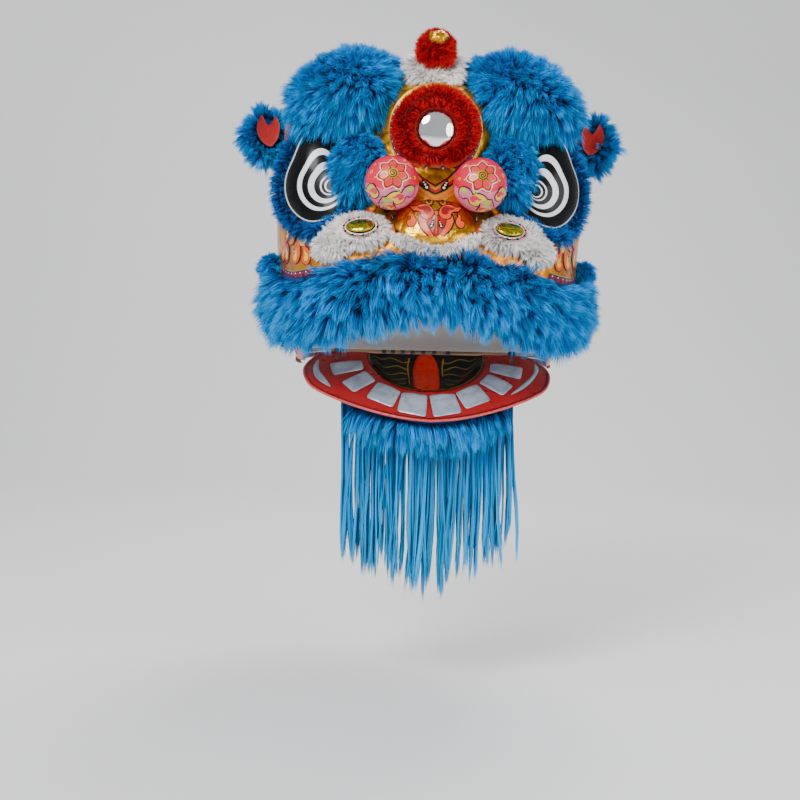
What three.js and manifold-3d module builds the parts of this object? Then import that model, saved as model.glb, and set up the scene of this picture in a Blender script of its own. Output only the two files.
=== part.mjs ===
// A lion dance head: a hollow paper shell with fur brows, lip and trims, eyelids and ears on hinges,
// and a hinged lower jaw with a beard. Millimetres, +Z up, the face looks along -Y, and the origin is
// the middle of the bar that the hands hold.

import * as THREE from 'three';
import { mergeVertices } from 'three/addons/utils/BufferGeometryUtils.js';
import Module from 'manifold-3d';

const wasm = await Module();
wasm.setup();

const { Vector3, Matrix4 } = THREE;
const vec = (x, y, z) => new Vector3(x, y, z);
const TAU = Math.PI * 2;
const rad = THREE.MathUtils.degToRad;

// Driving dimensions
const SEAT_GAP = 0.55;
const SHELL_WALL = 2.5;
const SKULL_CENTRE = vec(0, 40, 200);
const SKULL_COLUMNS = 30;
const SKULL_ROWS = 14;
const FRONT_CROWDING = 0.42;
const RIM_Z = -25;
const FACE_RIM_Z = 32;
const RIM_STEP_Y = -25;
const MOUTH_HALF_WIDTH = 226;
const MOUTH_TOP_Z = 112;
const MOUTH_BOTTOM_Z = -60;
const BAR_RADIUS = 9;
const JAW_REST_ANGLE = 26;

// The skull is a blend of rounded lobes. power is how square a lobe is.
const LOBES = [
  { name: 'cranium', x: 0, y: 90, z: 150, rx: 276, ry: 255, rz: 325, power: 2.5 },
  { name: 'muzzle', x: 0, y: -20, z: 158, rx: 262, ry: 215, rz: 106, power: 3 },
  { name: 'bridge', x: 0, y: -100, z: 246, rx: 74, ry: 106, rz: 82, power: 2.4 },
  { name: 'forehead', x: 0, y: -40, z: 394, rx: 104, ry: 108, rz: 114, power: 3 },
  { name: 'brow_left', x: 165, y: 0, z: 425, rx: 112, ry: 84, rz: 88, power: 2 },
  { name: 'brow_right', x: -165, y: 0, z: 425, rx: 112, ry: 84, rz: 88, power: 2 },
  { name: 'socket_left', x: 184, y: 4, z: 304, rx: 104, ry: 98, rz: 112, power: 3 },
  { name: 'socket_right', x: -184, y: 4, z: 304, rx: 104, ry: 98, rz: 112, power: 3 },
];
const BLEND_SHARPNESS = 9;
const FAR = 650;
const MARCH_STEP = 6;
const HALVINGS = 22;

function skullField(p) {
  let sum = 0;
  for (const lobe of LOBES) {
    const level = Math.abs((p.x - lobe.x) / lobe.rx) ** lobe.power
      + Math.abs((p.y - lobe.y) / lobe.ry) ** lobe.power
      + Math.abs((p.z - lobe.z) / lobe.rz) ** lobe.power;
    sum += Math.max(level, 1e-6) ** (-BLEND_SHARPNESS / lobe.power);
  }
  return sum;
}

// The outermost point of the skull on a ray that comes in from far away towards a point
function skullHit(target, outward) {
  let reach = FAR;
  const at = (t) => target.clone().addScaledVector(outward, t);
  while (reach > -FAR && skullField(at(reach)) < 1) reach -= MARCH_STEP;
  let inside = reach;
  let outside = reach + MARCH_STEP;
  for (let i = 0; i < HALVINGS; i += 1) {
    const middle = (inside + outside) / 2;
    if (skullField(at(middle)) < 1) outside = middle;
    else inside = middle;
  }
  return at(inside);
}

function skullNormal(p) {
  const d = 1.5;
  const slope = (axis) => skullField(p.clone().addScaledVector(axis, d))
    - skullField(p.clone().addScaledVector(axis, -d));
  return vec(-slope(vec(1, 0, 0)), -slope(vec(0, 1, 0)), -slope(vec(0, 0, 1))).normalize();
}

// Solids from three.js geometry
function weld(geometry) {
  const bare = geometry.clone();
  for (const name of ['normal', 'uv', 'color']) bare.deleteAttribute(name);
  return mergeVertices(bare, 1e-4);
}

function solid(geometry) {
  const merged = weld(geometry);
  const vertProperties = new Float32Array(merged.attributes.position.array);
  const triVerts = new Uint32Array(merged.index.array);
  const mesh = new wasm.Mesh({ numProp: 3, vertProperties, triVerts });
  mesh.merge();
  return new wasm.Manifold(mesh);
}

function geometryOf(body) {
  const mesh = body.getMesh();
  const geometry = new THREE.BufferGeometry();
  geometry.setAttribute('position', new THREE.BufferAttribute(new Float32Array(mesh.vertProperties), 3));
  geometry.setIndex(new THREE.BufferAttribute(new Uint32Array(mesh.triVerts), 1));
  return geometry;
}

function largest(body) {
  const parts = body.decompose();
  if (parts.length === 0) throw new Error('nothing is left of a piece');
  parts.sort((a, b) => b.volume() - a.volume());
  return parts[0];
}

// Cuts leave slivers. This closes edges whose loss moves the surface by less than an allowed distance.
const SLIVER_DRIFT = 0.27;
const LONGEST_CLOSED = 40;
const SMALLEST_AREA = 0.02;

function pointsOf(geometry) {
  const source = geometry.attributes.position;
  return Array.from({ length: source.count }, (_, i) => vec(source.getX(i), source.getY(i), source.getZ(i)));
}

function meshOf(points, index) {
  const geometry = new THREE.BufferGeometry();
  const numbers = points.flatMap((p) => [p.x, p.y, p.z]);
  geometry.setAttribute('position', new THREE.Float32BufferAttribute(numbers, 3));
  geometry.setIndex(index);
  return geometry;
}

function withoutSlivers(geometry, allowed = SLIVER_DRIFT) {
  const points = pointsOf(geometry);
  const faces = [];
  for (let i = 0; i < geometry.index.count; i += 3) {
    faces.push(Array.from(geometry.index.array.slice(i, i + 3)));
  }
  const facesOf = points.map(() => new Set());
  faces.forEach((face, i) => face.forEach((v) => facesOf[v].add(i)));
  const drift = new Float64Array(points.length);
  const slope = (face) => {
    const [a, b, c] = face.map((v) => points[v]);
    return b.clone().sub(a).cross(c.clone().sub(a));
  };
  const around = (v) => new Set([...facesOf[v]].flatMap((i) => faces[i]).filter((w) => w !== v));

  const mayClose = (gone, kept) => {
    const shared = [...facesOf[gone]].filter((i) => facesOf[kept].has(i));
    if (shared.length !== 2) return null;
    const keptRing = around(kept);
    if ([...around(gone)].filter((v) => keptRing.has(v)).length !== 2) return null;
    const move = points[kept].clone().sub(points[gone]);
    const moved = [...facesOf[gone]].filter((i) => !shared.includes(i));
    const lean = vec(0, 0, 0);
    for (const i of facesOf[gone]) lean.add(slope(faces[i]));
    if (lean.length() < SMALLEST_AREA) return null;
    lean.normalize();
    let error = 0;
    for (const i of facesOf[gone]) {
      const before = slope(faces[i]);
      if (before.length() > SMALLEST_AREA) error = Math.max(error, Math.abs(before.normalize().dot(move)));
    }
    if (error + drift[gone] > allowed) return null;
    for (const i of moved) {
      const before = slope(faces[i]);
      const after = slope(faces[i].map((v) => (v === gone ? kept : v)));
      if (after.length() < SMALLEST_AREA) return null;
      if (after.clone().normalize().dot(lean) < 0.1) return null;
      const steady = before.length() < SMALLEST_AREA || before.normalize().dot(after.normalize()) > 0.3;
      if (!steady) return null;
    }
    return { shared, moved, error: error + drift[gone] };
  };

  let changed = true;
  while (changed) {
    changed = false;
    const edges = [];
    for (const face of faces) {
      if (!face) continue;
      for (let k = 0; k < 3; k += 1) {
        const [a, b] = [face[k], face[(k + 1) % 3]];
        const length = points[a].distanceTo(points[b]);
        if (a < b && length < LONGEST_CLOSED) edges.push({ a, b, length });
      }
    }
    edges.sort((one, other) => one.length - other.length);
    for (const { a, b } of edges) {
      if (facesOf[a].size === 0 || facesOf[b].size === 0) continue;
      for (const [gone, kept] of [[a, b], [b, a]]) {
        const step = mayClose(gone, kept);
        if (!step) continue;
        for (const i of step.shared) {
          for (const v of faces[i]) facesOf[v].delete(i);
          faces[i] = null;
        }
        for (const i of step.moved) {
          faces[i] = faces[i].map((v) => (v === gone ? kept : v));
          facesOf[kept].add(i);
        }
        facesOf[gone].clear();
        drift[kept] = Math.max(drift[kept], step.error);
        changed = true;
        break;
      }
    }
  }
  return geometryOf(solid(meshOf(points, faces.filter(Boolean).flat())));
}

// The same form grown outwards, so that each of its faces moves out by about the gap
const SHARPEST = 0.35;

function grown(geometry, gap) {
  const merged = weld(geometry);
  const points = pointsOf(merged);
  const slopes = points.map(() => []);
  const index = merged.index.array;
  for (let i = 0; i < index.length; i += 3) {
    const corners = [index[i], index[i + 1], index[i + 2]];
    const [a, b, c] = corners.map((v) => points[v]);
    const normal = b.clone().sub(a).cross(c.clone().sub(a));
    if (normal.length() < SMALLEST_AREA) continue;
    normal.normalize();
    corners.forEach((v, k) => {
      const one = points[corners[(k + 1) % 3]].clone().sub(points[v]);
      const other = points[corners[(k + 2) % 3]].clone().sub(points[v]);
      slopes[v].push({ normal, weight: one.angleTo(other) });
    });
  }
  points.forEach((point, v) => {
    const out = vec(0, 0, 0);
    for (const { normal, weight } of slopes[v]) out.addScaledVector(normal, weight);
    if (out.length() < 1e-6) return;
    out.normalize();
    const least = Math.min(1, ...slopes[v].map(({ normal }) => normal.dot(out)));
    point.addScaledVector(out, gap / Math.max(least, SHARPEST));
    merged.attributes.position.setXYZ(v, point.x, point.y, point.z);
  });
  return merged;
}

function reshape(geometry, place) {
  const shaped = weld(geometry);
  const position = shaped.attributes.position;
  for (let i = 0; i < position.count; i += 1) {
    const p = place(vec(position.getX(i), position.getY(i), position.getZ(i)));
    position.setXYZ(i, p.x, p.y, p.z);
  }
  return shaped;
}

// A pebble is a closed form with a front and a back sheet that meet at an outline.
// place(angle, reach, bulge) gets reach 0 at the middle and 1 at the outline, and bulge from 1 to -1.
function pebble(columns, rows, place) {
  return reshape(new THREE.SphereGeometry(1, columns, rows), (p) => {
    const angle = Math.atan2(p.z, p.x);
    const reach = Math.min(1, Math.hypot(p.x, p.z));
    return place(-angle, reach, THREE.MathUtils.clamp(p.y, -1, 1));
  });
}

// A sausage runs along a path, with round closed ends. section(t, angle) gives two offsets.
function sausage(columns, rows, path, section) {
  return reshape(new THREE.SphereGeometry(1, columns, rows), (p) => {
    const t = Math.acos(THREE.MathUtils.clamp(p.y, -1, 1)) / Math.PI;
    const angle = -Math.atan2(p.z, p.x);
    const fullness = Math.min(1, Math.sin(t * Math.PI) * 2.2) ** 0.6;
    const spot = path(t);
    const offset = section(t, angle);
    return spot.point.clone()
      .addScaledVector(spot.side, offset.side * fullness)
      .addScaledVector(spot.out, offset.out * fullness);
  });
}

// A ring round an outline: tube angle 0 points outwards from the middle, and 90 degrees points to the front
function ring(columns, rows, place) {
  return reshape(new THREE.TorusGeometry(2, 1, rows, columns), (p) => {
    const angle = Math.atan2(p.y, p.x);
    const away = Math.hypot(p.x, p.y) - 2;
    return place(angle, Math.atan2(p.z, away));
  });
}

// A place on the skull: origin on its surface, normal out, right and up along it
function seat(x, y, z, outward) {
  const normal = outward.clone().normalize();
  const origin = skullHit(vec(x, y, z), normal);
  const right = vec(0, 0, 1).cross(normal).normalize().negate();
  const up = right.clone().cross(normal).negate();
  if (up.z < 0) up.negate();
  return { origin, normal, right, up };
}

// Near the side of the skull a drape falls no further back than this
const DEEPEST_DRAPE = 80;

function onSeat(place, u, v) {
  const target = place.origin.clone().addScaledVector(place.right, u).addScaledVector(place.up, v);
  const spot = skullHit(target, place.normal);
  const behind = place.origin.clone().sub(spot).dot(place.normal);
  return spot.addScaledVector(place.normal, Math.max(0, behind - DEEPEST_DRAPE));
}

// A curved lock of fur: four sides, a wide root inside its backing and one tip
const LOCK_RINGS = [{ t: 0, w: 1 }, { t: 0.5, w: 0.8 }];
const STRAND_RINGS = [{ t: 0, w: 0.8 }, { t: 0.35, w: 1 }, { t: 0.75, w: 0.8 }];

function lock(root, tip, bend, width, rings = LOCK_RINGS) {
  const axis = tip.clone().sub(root);
  const side = axis.clone().cross(bend.lengthSq() > 0.01 ? bend : vec(0.3, 0.2, 1)).normalize();
  const over = side.clone().cross(axis).normalize();
  const points = [];
  for (const row of rings) {
    const middle = root.clone().addScaledVector(axis, row.t).addScaledVector(bend, row.t * (1 - row.t) * 2);
    for (let k = 0; k < 4; k += 1) {
      const a = (k / 4) * TAU + 0.4;
      points.push(middle.clone()
        .addScaledVector(side, Math.cos(a) * width * row.w)
        .addScaledVector(over, Math.sin(a) * width * row.w * 0.8));
    }
  }
  points.push(tip.clone());
  const index = [0, 2, 1, 0, 3, 2];
  const last = 4 * (rings.length - 1);
  for (let k = 0; k < 4; k += 1) {
    const next = (k + 1) % 4;
    for (let low = 0; low < last; low += 4) {
      index.push(low + k, low + next, low + 4 + next, low + k, low + 4 + next, low + 4 + k);
    }
    index.push(last + k, last + next, last + 4);
  }
  const geometry = meshOf(points, index);
  const body = solid(geometry);
  return body.volume() < 0 ? solid(flipped(geometry)) : body;
}

function flipped(geometry) {
  const copy = geometry.clone();
  const index = Array.from(copy.index.array);
  for (let i = 0; i < index.length; i += 3) [index[i], index[i + 1]] = [index[i + 1], index[i]];
  copy.setIndex(index);
  return copy;
}

function outwardSolid(geometry) {
  const body = solid(geometry);
  return body.volume() < 0 ? solid(flipped(weld(geometry))) : body;
}

// Fur: a backing with locks fused to it
function furred(backing, locks) {
  const fuse = (body, one) => body.add(lock(one.root, one.tip, one.bend, one.width, one.rings));
  return locks.reduce(fuse, backing);
}

// A steady series of numbers between 0 and 1, so that locks differ from each other
function seriesOf(seed) {
  let state = seed;
  return () => {
    state = (state * 16807) % 2147483647;
    return state / 2147483647;
  };
}

// Short fur stands up in points: every second corner of an outline reaches further out
function pointed(angle, columns, amount) {
  const step = Math.round((angle / TAU) * columns);
  return Math.abs(step) % 2 === 0 ? 1 + amount : 1 - amount * 0.4;
}

// Finishes
const finish = (color, roughness, metalness) => (
  new THREE.MeshStandardMaterial({ color, roughness, metalness })
);
const FINISHES = {
  paintedPaper: finish(0xb5781c, 0.45, 0.2),
  goldFoil: finish(0xb58a28, 0.3, 0.9),
  blueFur: finish(0x0d7fc4, 0.9, 0),
  redFur: finish(0xb30f12, 0.9, 0),
  whiteFur: finish(0xe6e0d8, 0.9, 0),
  redFelt: finish(0xa01010, 0.95, 0),
  eyeGloss: finish(0x101010, 0.1, 0),
  silver: finish(0xa8b2bd, 0.35, 0.6),
  mirror: finish(0xd0d4d6, 0.05, 1),
  wood: finish(0x9a7b52, 0.7, 0),
  palateCloth: finish(0xb9b4ae, 0.8, 0),
  jawRed: finish(0xb0100f, 0.35, 0),
  tongueRed: finish(0xe23a14, 0.5, 0),
  ballPaint: finish(0xd86a80, 0.25, 0),
  hair: finish(0x169ad2, 0.55, 0),
};

// Assembly: each new piece is cut clear of the pieces that are already there, at every angle of its swing
const group = new THREE.Group();
const placed = [];
const SWING_GAP = 1.2;
const SWING_STEPS = 18;

function boxesMeet(a, b) {
  return a.min.every((low, i) => low < b.max[i] && b.min[i] < a.max[i]);
}

function clearOf(body, others) {
  let result = body;
  for (const other of others) {
    if (boxesMeet(result.boundingBox(), other.boundingBox())) result = result.subtract(other);
  }
  return largest(result);
}

function turned(body, swing, degrees) {
  const there = new Matrix4().makeTranslation(swing.point.x, swing.point.y, swing.point.z);
  const turn = new Matrix4().makeRotationAxis(swing.axis, rad(degrees));
  const back = there.clone().invert();
  return solid(geometryOf(body).applyMatrix4(there.multiply(turn).multiply(back)));
}

function swingAngles(swing) {
  const angles = [];
  for (let i = 0; i <= SWING_STEPS; i += 1) {
    angles.push(swing.from + ((swing.to - swing.from) * i) / SWING_STEPS);
  }
  return angles.filter((angle) => Math.abs(angle) > 0.5);
}

function add(name, body, material, { swing = null, mates = [], inside = false } = {}) {
  const skips = (one) => (inside && one.name === 'skull_shell') || (one.swung && mates.includes(one.name));
  const neighbours = placed.filter((one) => !skips(one));
  let clear = clearOf(body, neighbours.map((one) => one.grown));
  if (swing) {
    const still = neighbours.filter((one) => !mates.includes(one.name));
    for (const angle of swingAngles(swing)) {
      clear = clearOf(clear, still.map((one) => turned(one.grown, swing, -angle)));
    }
  }
  const geometry = withoutSlivers(geometryOf(clear));
  placed.push({ name, grown: outwardSolid(grown(geometry, SEAT_GAP)) });
  if (swing) {
    const wide = outwardSolid(grown(geometry, SWING_GAP));
    for (const angle of swingAngles(swing)) {
      placed.push({ name, grown: turned(wide, swing, angle), swung: true });
    }
  }
  const mesh = new THREE.Mesh(geometry, material);
  mesh.name = name;
  group.add(mesh);
  return clear;
}

// Both sides of the face: side is +1 at +X and -1 at -X
const SIDES = [
  { name: 'left', sign: 1 },
  { name: 'right', sign: -1 },
];

function mirrored(body, sign) {
  if (sign > 0) return body;
  const geometry = geometryOf(body);
  return solid(flipped(reshape(geometry, (p) => vec(-p.x, p.y, p.z))));
}

// Skull shell
function skullSurface(inset) {
  return reshape(new THREE.SphereGeometry(1, SKULL_COLUMNS, SKULL_ROWS), (p) => {
    const turn = Math.atan2(p.x, p.z);
    const crowded = turn + FRONT_CROWDING * Math.sin(turn);
    const polar = Math.acos(THREE.MathUtils.clamp(p.y, -1, 1));
    const outward = vec(
      Math.sin(crowded) * Math.sin(polar),
      Math.cos(crowded) * Math.sin(polar),
      Math.cos(polar),
    );
    const spot = skullHit(SKULL_CENTRE, outward);
    return spot.clone().addScaledVector(skullNormal(spot), -inset);
  });
}

const skullOuter = outwardSolid(skullSurface(0));
const skullInner = outwardSolid(skullSurface(SHELL_WALL));
const skullGrown = outwardSolid(skullSurface(-SEAT_GAP));
const skullLining = outwardSolid(skullSurface(SHELL_WALL + SEAT_GAP));

function extruded(points, length, frame) {
  const shape = new THREE.Shape(points.map(([a, b]) => new THREE.Vector2(a, b)));
  const geometry = new THREE.ExtrudeGeometry(shape, { depth: length, bevelEnabled: false, steps: 1 });
  geometry.applyMatrix4(frame);
  return outwardSolid(geometry);
}

// A prism with an outline in the XZ plane, running from yStart towards +Y
function prismAlongY(points, yStart, length) {
  const frame = new Matrix4().makeBasis(vec(1, 0, 0), vec(0, 0, 1), vec(0, 1, 0)).setPosition(0, yStart, 0);
  return extruded(points, length, frame);
}

// A prism with an outline in the YZ plane, running from xStart towards +X
function prismAlongX(points, xStart, length) {
  const frame = new Matrix4().makeBasis(vec(0, 1, 0), vec(0, 0, 1), vec(1, 0, 0)).setPosition(xStart, 0, 0);
  return extruded(points, length, frame);
}

function mouthArch() {
  const points = [[-MOUTH_HALF_WIDTH, MOUTH_BOTTOM_Z], [MOUTH_HALF_WIDTH, MOUTH_BOTTOM_Z]];
  const steps = 12;
  for (let i = 0; i <= steps; i += 1) {
    const a = (i / steps) * Math.PI;
    points.push([
      MOUTH_HALF_WIDTH * Math.sign(Math.cos(a)) * Math.abs(Math.cos(a)) ** 0.8,
      MOUTH_TOP_Z * Math.sin(a) ** 0.7,
    ]);
  }
  return prismAlongY(points, -FAR, FAR + RIM_STEP_Y);
}

function belowRim() {
  const points = [
    [-FAR, -FAR], [FAR, -FAR], [FAR, RIM_Z],
    [RIM_STEP_Y, RIM_Z], [RIM_STEP_Y, FACE_RIM_Z], [-FAR, FACE_RIM_Z],
  ];
  return prismAlongX(points, -FAR, 2 * FAR);
}

const shell = largest(skullOuter.subtract(skullInner).subtract(belowRim()).subtract(mouthArch()));
const shellMesh = new THREE.Mesh(withoutSlivers(geometryOf(shell), 0.1), FINISHES.paintedPaper);
shellMesh.name = 'skull_shell';
group.add(shellMesh);
placed.push({ name: 'skull_shell', grown: skullGrown });

// Lower rim hoop, where the cape is tied on
const HOOP_HEIGHT = 10;
const HOOP_INNER = 9;
const HOOP_OUTER = 5;
const HOOP_STEPS = 22;
const HOOP_SWEEP = rad(101);

function rimPoint(turn, offset) {
  const outward = vec(Math.sin(turn), Math.cos(turn), 0);
  const spot = skullHit(vec(0, SKULL_CENTRE.y, RIM_Z), outward);
  return spot.addScaledVector(outward, offset);
}

function baseRing() {
  const outer = [];
  const inner = [];
  for (let i = 0; i <= HOOP_STEPS; i += 1) {
    const turn = -HOOP_SWEEP + (2 * HOOP_SWEEP * i) / HOOP_STEPS;
    outer.push(rimPoint(turn, HOOP_OUTER));
    inner.unshift(rimPoint(turn, -HOOP_INNER));
  }
  const points = [...outer, ...inner].map((p) => [p.x, p.y]);
  const bottom = RIM_Z - SEAT_GAP - HOOP_HEIGHT;
  return extruded(points, HOOP_HEIGHT, new Matrix4().makeTranslation(0, 0, bottom));
}

// Bar across the mouth, with two loops of the jaw round it
const LOOP_X = 168;
const LOOP_WIDTH = 16;
const LOOP_INNER = BAR_RADIUS + 0.7;
const LOOP_OUTER = 15;
const LOOP_NOTCH = 2.5;

function barAlongX(radius, from, to, sides) {
  const geometry = new THREE.CylinderGeometry(radius, radius, to - from, sides);
  geometry.rotateZ(Math.PI / 2);
  geometry.translate((from + to) / 2, 0, 0);
  return outwardSolid(geometry);
}

// Roof of the mouth: a curved sheet from the bar to the front wall above the mouth
const PALATE_HALF_THICKNESS = 1;
const PALATE_CLEAR_OF_RIM = 7;

function mouthTop(x) {
  const across = Math.min(1, Math.abs(x) / MOUTH_HALF_WIDTH) ** 1.25;
  return MOUTH_TOP_Z * Math.sqrt(1 - across * across) ** 0.7;
}

function frontWall(x) {
  const width = Math.min(Math.abs(x), 235);
  return skullHit(vec(width, 0, MOUTH_TOP_Z), vec(0, -1, 0)).y;
}

function palate() {
  const rear = -BAR_RADIUS - SEAT_GAP;
  const reach = 330;
  const box = new THREE.BoxGeometry(2, 1, 2, 10, 4, 1);
  return outwardSolid(reshape(box, (p) => {
    const x = p.x * 300;
    const wall = frontWall(x);
    const t = (0.5 - p.y) * 1.15;
    const y = rear + t * (wall - rear);
    const rise = Math.max(FACE_RIM_Z + 6, mouthTop(x) + PALATE_CLEAR_OF_RIM);
    const z = Math.min(t, 1.05) * rise + p.z * PALATE_HALF_THICKNESS;
    return vec(x, Math.max(y, -reach), z);
  }));
}

add('base_ring', baseRing(), FINISHES.wood, { inside: true });
const BAR_SIDES = 14;
const carryBar = barAlongX(BAR_RADIUS, -FAR, FAR, BAR_SIDES).intersect(skullLining);
add('carry_bar', carryBar, FINISHES.wood, { inside: true });
const loopNotch = (x) => barAlongX(
  LOOP_OUTER + LOOP_NOTCH,
  x - LOOP_WIDTH / 2 - LOOP_NOTCH,
  x + LOOP_WIDTH / 2 + LOOP_NOTCH,
  12,
);
const notchedPalate = palate().intersect(skullLining)
  .subtract(loopNotch(LOOP_X))
  .subtract(loopNotch(-LOOP_X));
add('palate', notchedPalate, FINISHES.palateCloth, { inside: true });

// Lower jaw, drawn flat with x across, depth forward and height up, then pitched down about the bar
const JAW_FRAME = new Matrix4().makeBasis(
  vec(1, 0, 0),
  vec(0, -Math.cos(rad(JAW_REST_ANGLE)), -Math.sin(rad(JAW_REST_ANGLE))),
  vec(0, -Math.sin(rad(JAW_REST_ANGLE)), Math.cos(rad(JAW_REST_ANGLE))),
);
const inJaw = (x, depth, height) => vec(x, depth, height).applyMatrix4(JAW_FRAME);

const JAW_OUTLINE = [
  { depth: 14, half: 194 },
  { depth: 40, half: 219 },
  { depth: 80, half: 235 },
  { depth: 128, half: 227 },
  { depth: 162, half: 203 },
  { depth: 204, half: 147 },
  { depth: 234, half: 92 },
  { depth: 251, half: 44 },
  { depth: 258, half: 0 },
];
const JAW_MIDDLE = 105;
const JAW_THICKNESS = 3;
const JAW_DIP = 26;
const FLOOR_HALF_WIDTH = 122;
const FLOOR_REACH = 157;

const jawCorners = JAW_OUTLINE.map((row) => new THREE.Vector2(row.half, row.depth));
const jawSide = new THREE.SplineCurve(jawCorners).getPoints(40);

// How far the outline of the jaw lies from its middle, in a direction
function jawEdge(angle) {
  const turn = Math.atan2(Math.sin(angle), Math.abs(Math.cos(angle)));
  const turnOf = (p) => Math.atan2(p.y - JAW_MIDDLE, p.x);
  const reachOf = (p) => Math.hypot(p.y - JAW_MIDDLE, p.x);
  if (turn <= turnOf(jawSide[0])) return (JAW_OUTLINE[0].depth - JAW_MIDDLE) / Math.sin(turn);
  const next = jawSide.findIndex((p) => turnOf(p) >= turn);
  if (next < 1) return reachOf(jawSide[jawSide.length - 1]);
  const before = jawSide[next - 1];
  const after = jawSide[next];
  const share = (turn - turnOf(before)) / (turnOf(after) - turnOf(before));
  return THREE.MathUtils.lerp(reachOf(before), reachOf(after), share);
}

function jawHeight(x, depth) {
  const level = Math.hypot(x / FLOOR_HALF_WIDTH, depth / FLOOR_REACH);
  const sink = THREE.MathUtils.smoothstep(1 - level, 0, 0.3);
  return -JAW_DIP * sink * THREE.MathUtils.smoothstep(depth, 0, 70);
}

function jawTray() {
  return outwardSolid(pebble(26, 8, (angle, reach, bulge) => {
    const spread = reach ** 1.15;
    const edge = jawEdge(angle) * spread;
    const x = Math.cos(angle) * edge;
    const depth = JAW_MIDDLE + Math.sin(angle) * edge;
    const below = JAW_THICKNESS * THREE.MathUtils.clamp(0.5 - bulge * 20, 0, 1);
    return inJaw(x, depth, jawHeight(x, depth) - below);
  }));
}

function jawLoop(x) {
  const profile = [
    [LOOP_INNER, -LOOP_WIDTH / 2], [LOOP_OUTER, -LOOP_WIDTH / 2],
    [LOOP_OUTER, LOOP_WIDTH / 2], [LOOP_INNER, LOOP_WIDTH / 2], [LOOP_INNER, -LOOP_WIDTH / 2],
  ].map(([a, b]) => new THREE.Vector2(a, b));
  const geometry = new THREE.LatheGeometry(profile, 12);
  geometry.rotateZ(Math.PI / 2);
  geometry.translate(x, 0, 0);
  return outwardSolid(geometry);
}

function jawStrap(x) {
  const geometry = new THREE.BoxGeometry(LOOP_WIDTH, 30, JAW_THICKNESS);
  geometry.translate(x, LOOP_INNER + 17, -JAW_THICKNESS * 0.6);
  return outwardSolid(reshape(geometry, (p) => inJaw(p.x, p.y, p.z)));
}

const jawBody = [LOOP_X, -LOOP_X].reduce(
  (body, x) => body.add(jawLoop(x)).add(jawStrap(x)),
  jawTray(),
);
add('jaw', jawBody, FINISHES.jawRed, { inside: true });

// Teeth: painted plates on the rim of the jaw, named by their corners as [across, depth]
const TEETH = [
  { innerNear: [3, 171], innerFar: [48, 164], outerFar: [58, 227], outerNear: [8, 244] },
  { innerNear: [52, 160], innerFar: [92, 128], outerFar: [114, 182], outerNear: [68, 214] },
  { innerNear: [98, 122], innerFar: [118, 88], outerFar: [160, 130], outerNear: [138, 164] },
  { innerNear: [121, 80], innerFar: [124, 50], outerFar: [184, 62], outerNear: [176, 104] },
];
const TOOTH_THICKNESS = 2.4;

function tooth(row, sign) {
  const corners = [row.innerNear, row.innerFar, row.outerFar, row.outerNear]
    .map(([x, depth]) => [x * sign, depth]);
  const lift = new Matrix4().makeTranslation(0, 0, SEAT_GAP);
  return extruded(corners, TOOTH_THICKNESS, JAW_FRAME.clone().multiply(lift));
}

let toothNumber = 0;
for (const row of TEETH) {
  for (const { sign } of SIDES) {
    toothNumber += 1;
    add(`tooth_${toothNumber}`, tooth(row, sign), FINISHES.silver, { inside: true });
  }
}

const TONGUE = { half: 26, from: 17, to: 134, rise: 9 };

function tongue() {
  const middle = (TONGUE.from + TONGUE.to) / 2;
  const reachOut = (TONGUE.to - TONGUE.from) / 2;
  return outwardSolid(pebble(16, 6, (angle, reach, bulge) => {
    const across = Math.sign(Math.cos(angle)) * Math.abs(Math.cos(angle)) ** 0.75;
    const along = Math.sign(Math.sin(angle)) * Math.abs(Math.sin(angle)) ** 0.75;
    const x = TONGUE.half * across * reach;
    const depth = middle + reachOut * along * reach;
    const height = jawHeight(x, depth) + (bulge > 0 ? TONGUE.rise * bulge ** 0.6 : 0);
    return inJaw(x, depth, height + (bulge < 0 ? -1.5 : 0) + 1.2);
  }));
}
add('tongue', tongue(), FINISHES.tongueRed, { inside: true });

// Fluff and beard hang under the front of the jaw
const FLUFF = { half: 150, inset: 26, radius: 27 };

function underJaw(x, inset) {
  const edge = 252 - 62 * (Math.abs(x) / 150) ** 1.7;
  return inJaw(x, edge - inset, -JAW_THICKNESS);
}

function jawFluff() {
  const backing = outwardSolid(sausage(6, 10, (t) => {
    const x = (2 * t - 1) * FLUFF.half;
    const point = underJaw(x, FLUFF.inset).add(vec(0, 4, -FLUFF.radius + 6));
    return { point, side: vec(0, 0, 1), out: vec(0, -1, 0) };
  }, (t, angle) => ({
    side: FLUFF.radius * Math.sin(angle),
    out: FLUFF.radius * 0.72 * Math.cos(angle),
  })));
  const random = seriesOf(11);
  const locks = [];
  const count = 10;
  for (let i = 0; i < count; i += 1) {
    const x = -FLUFF.half + 14 + ((2 * FLUFF.half - 28) * i) / (count - 1);
    const root = underJaw(x, FLUFF.inset).add(vec(0, 2, -26));
    const sideways = (random() - 0.5) * 20 + x * 0.06;
    const tip = root.clone().add(vec(sideways, -16 - random() * 10, -34 - random() * 12));
    locks.push({ root, tip, bend: vec(0, -7, 0), width: 18 });
  }
  return furred(backing, locks);
}
add('jaw_fluff', jawFluff(), FINISHES.blueFur, { inside: true });

const BEARD = { half: 168, length: 345, strands: 13, width: 12, inset: 52, top: -30 };

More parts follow.
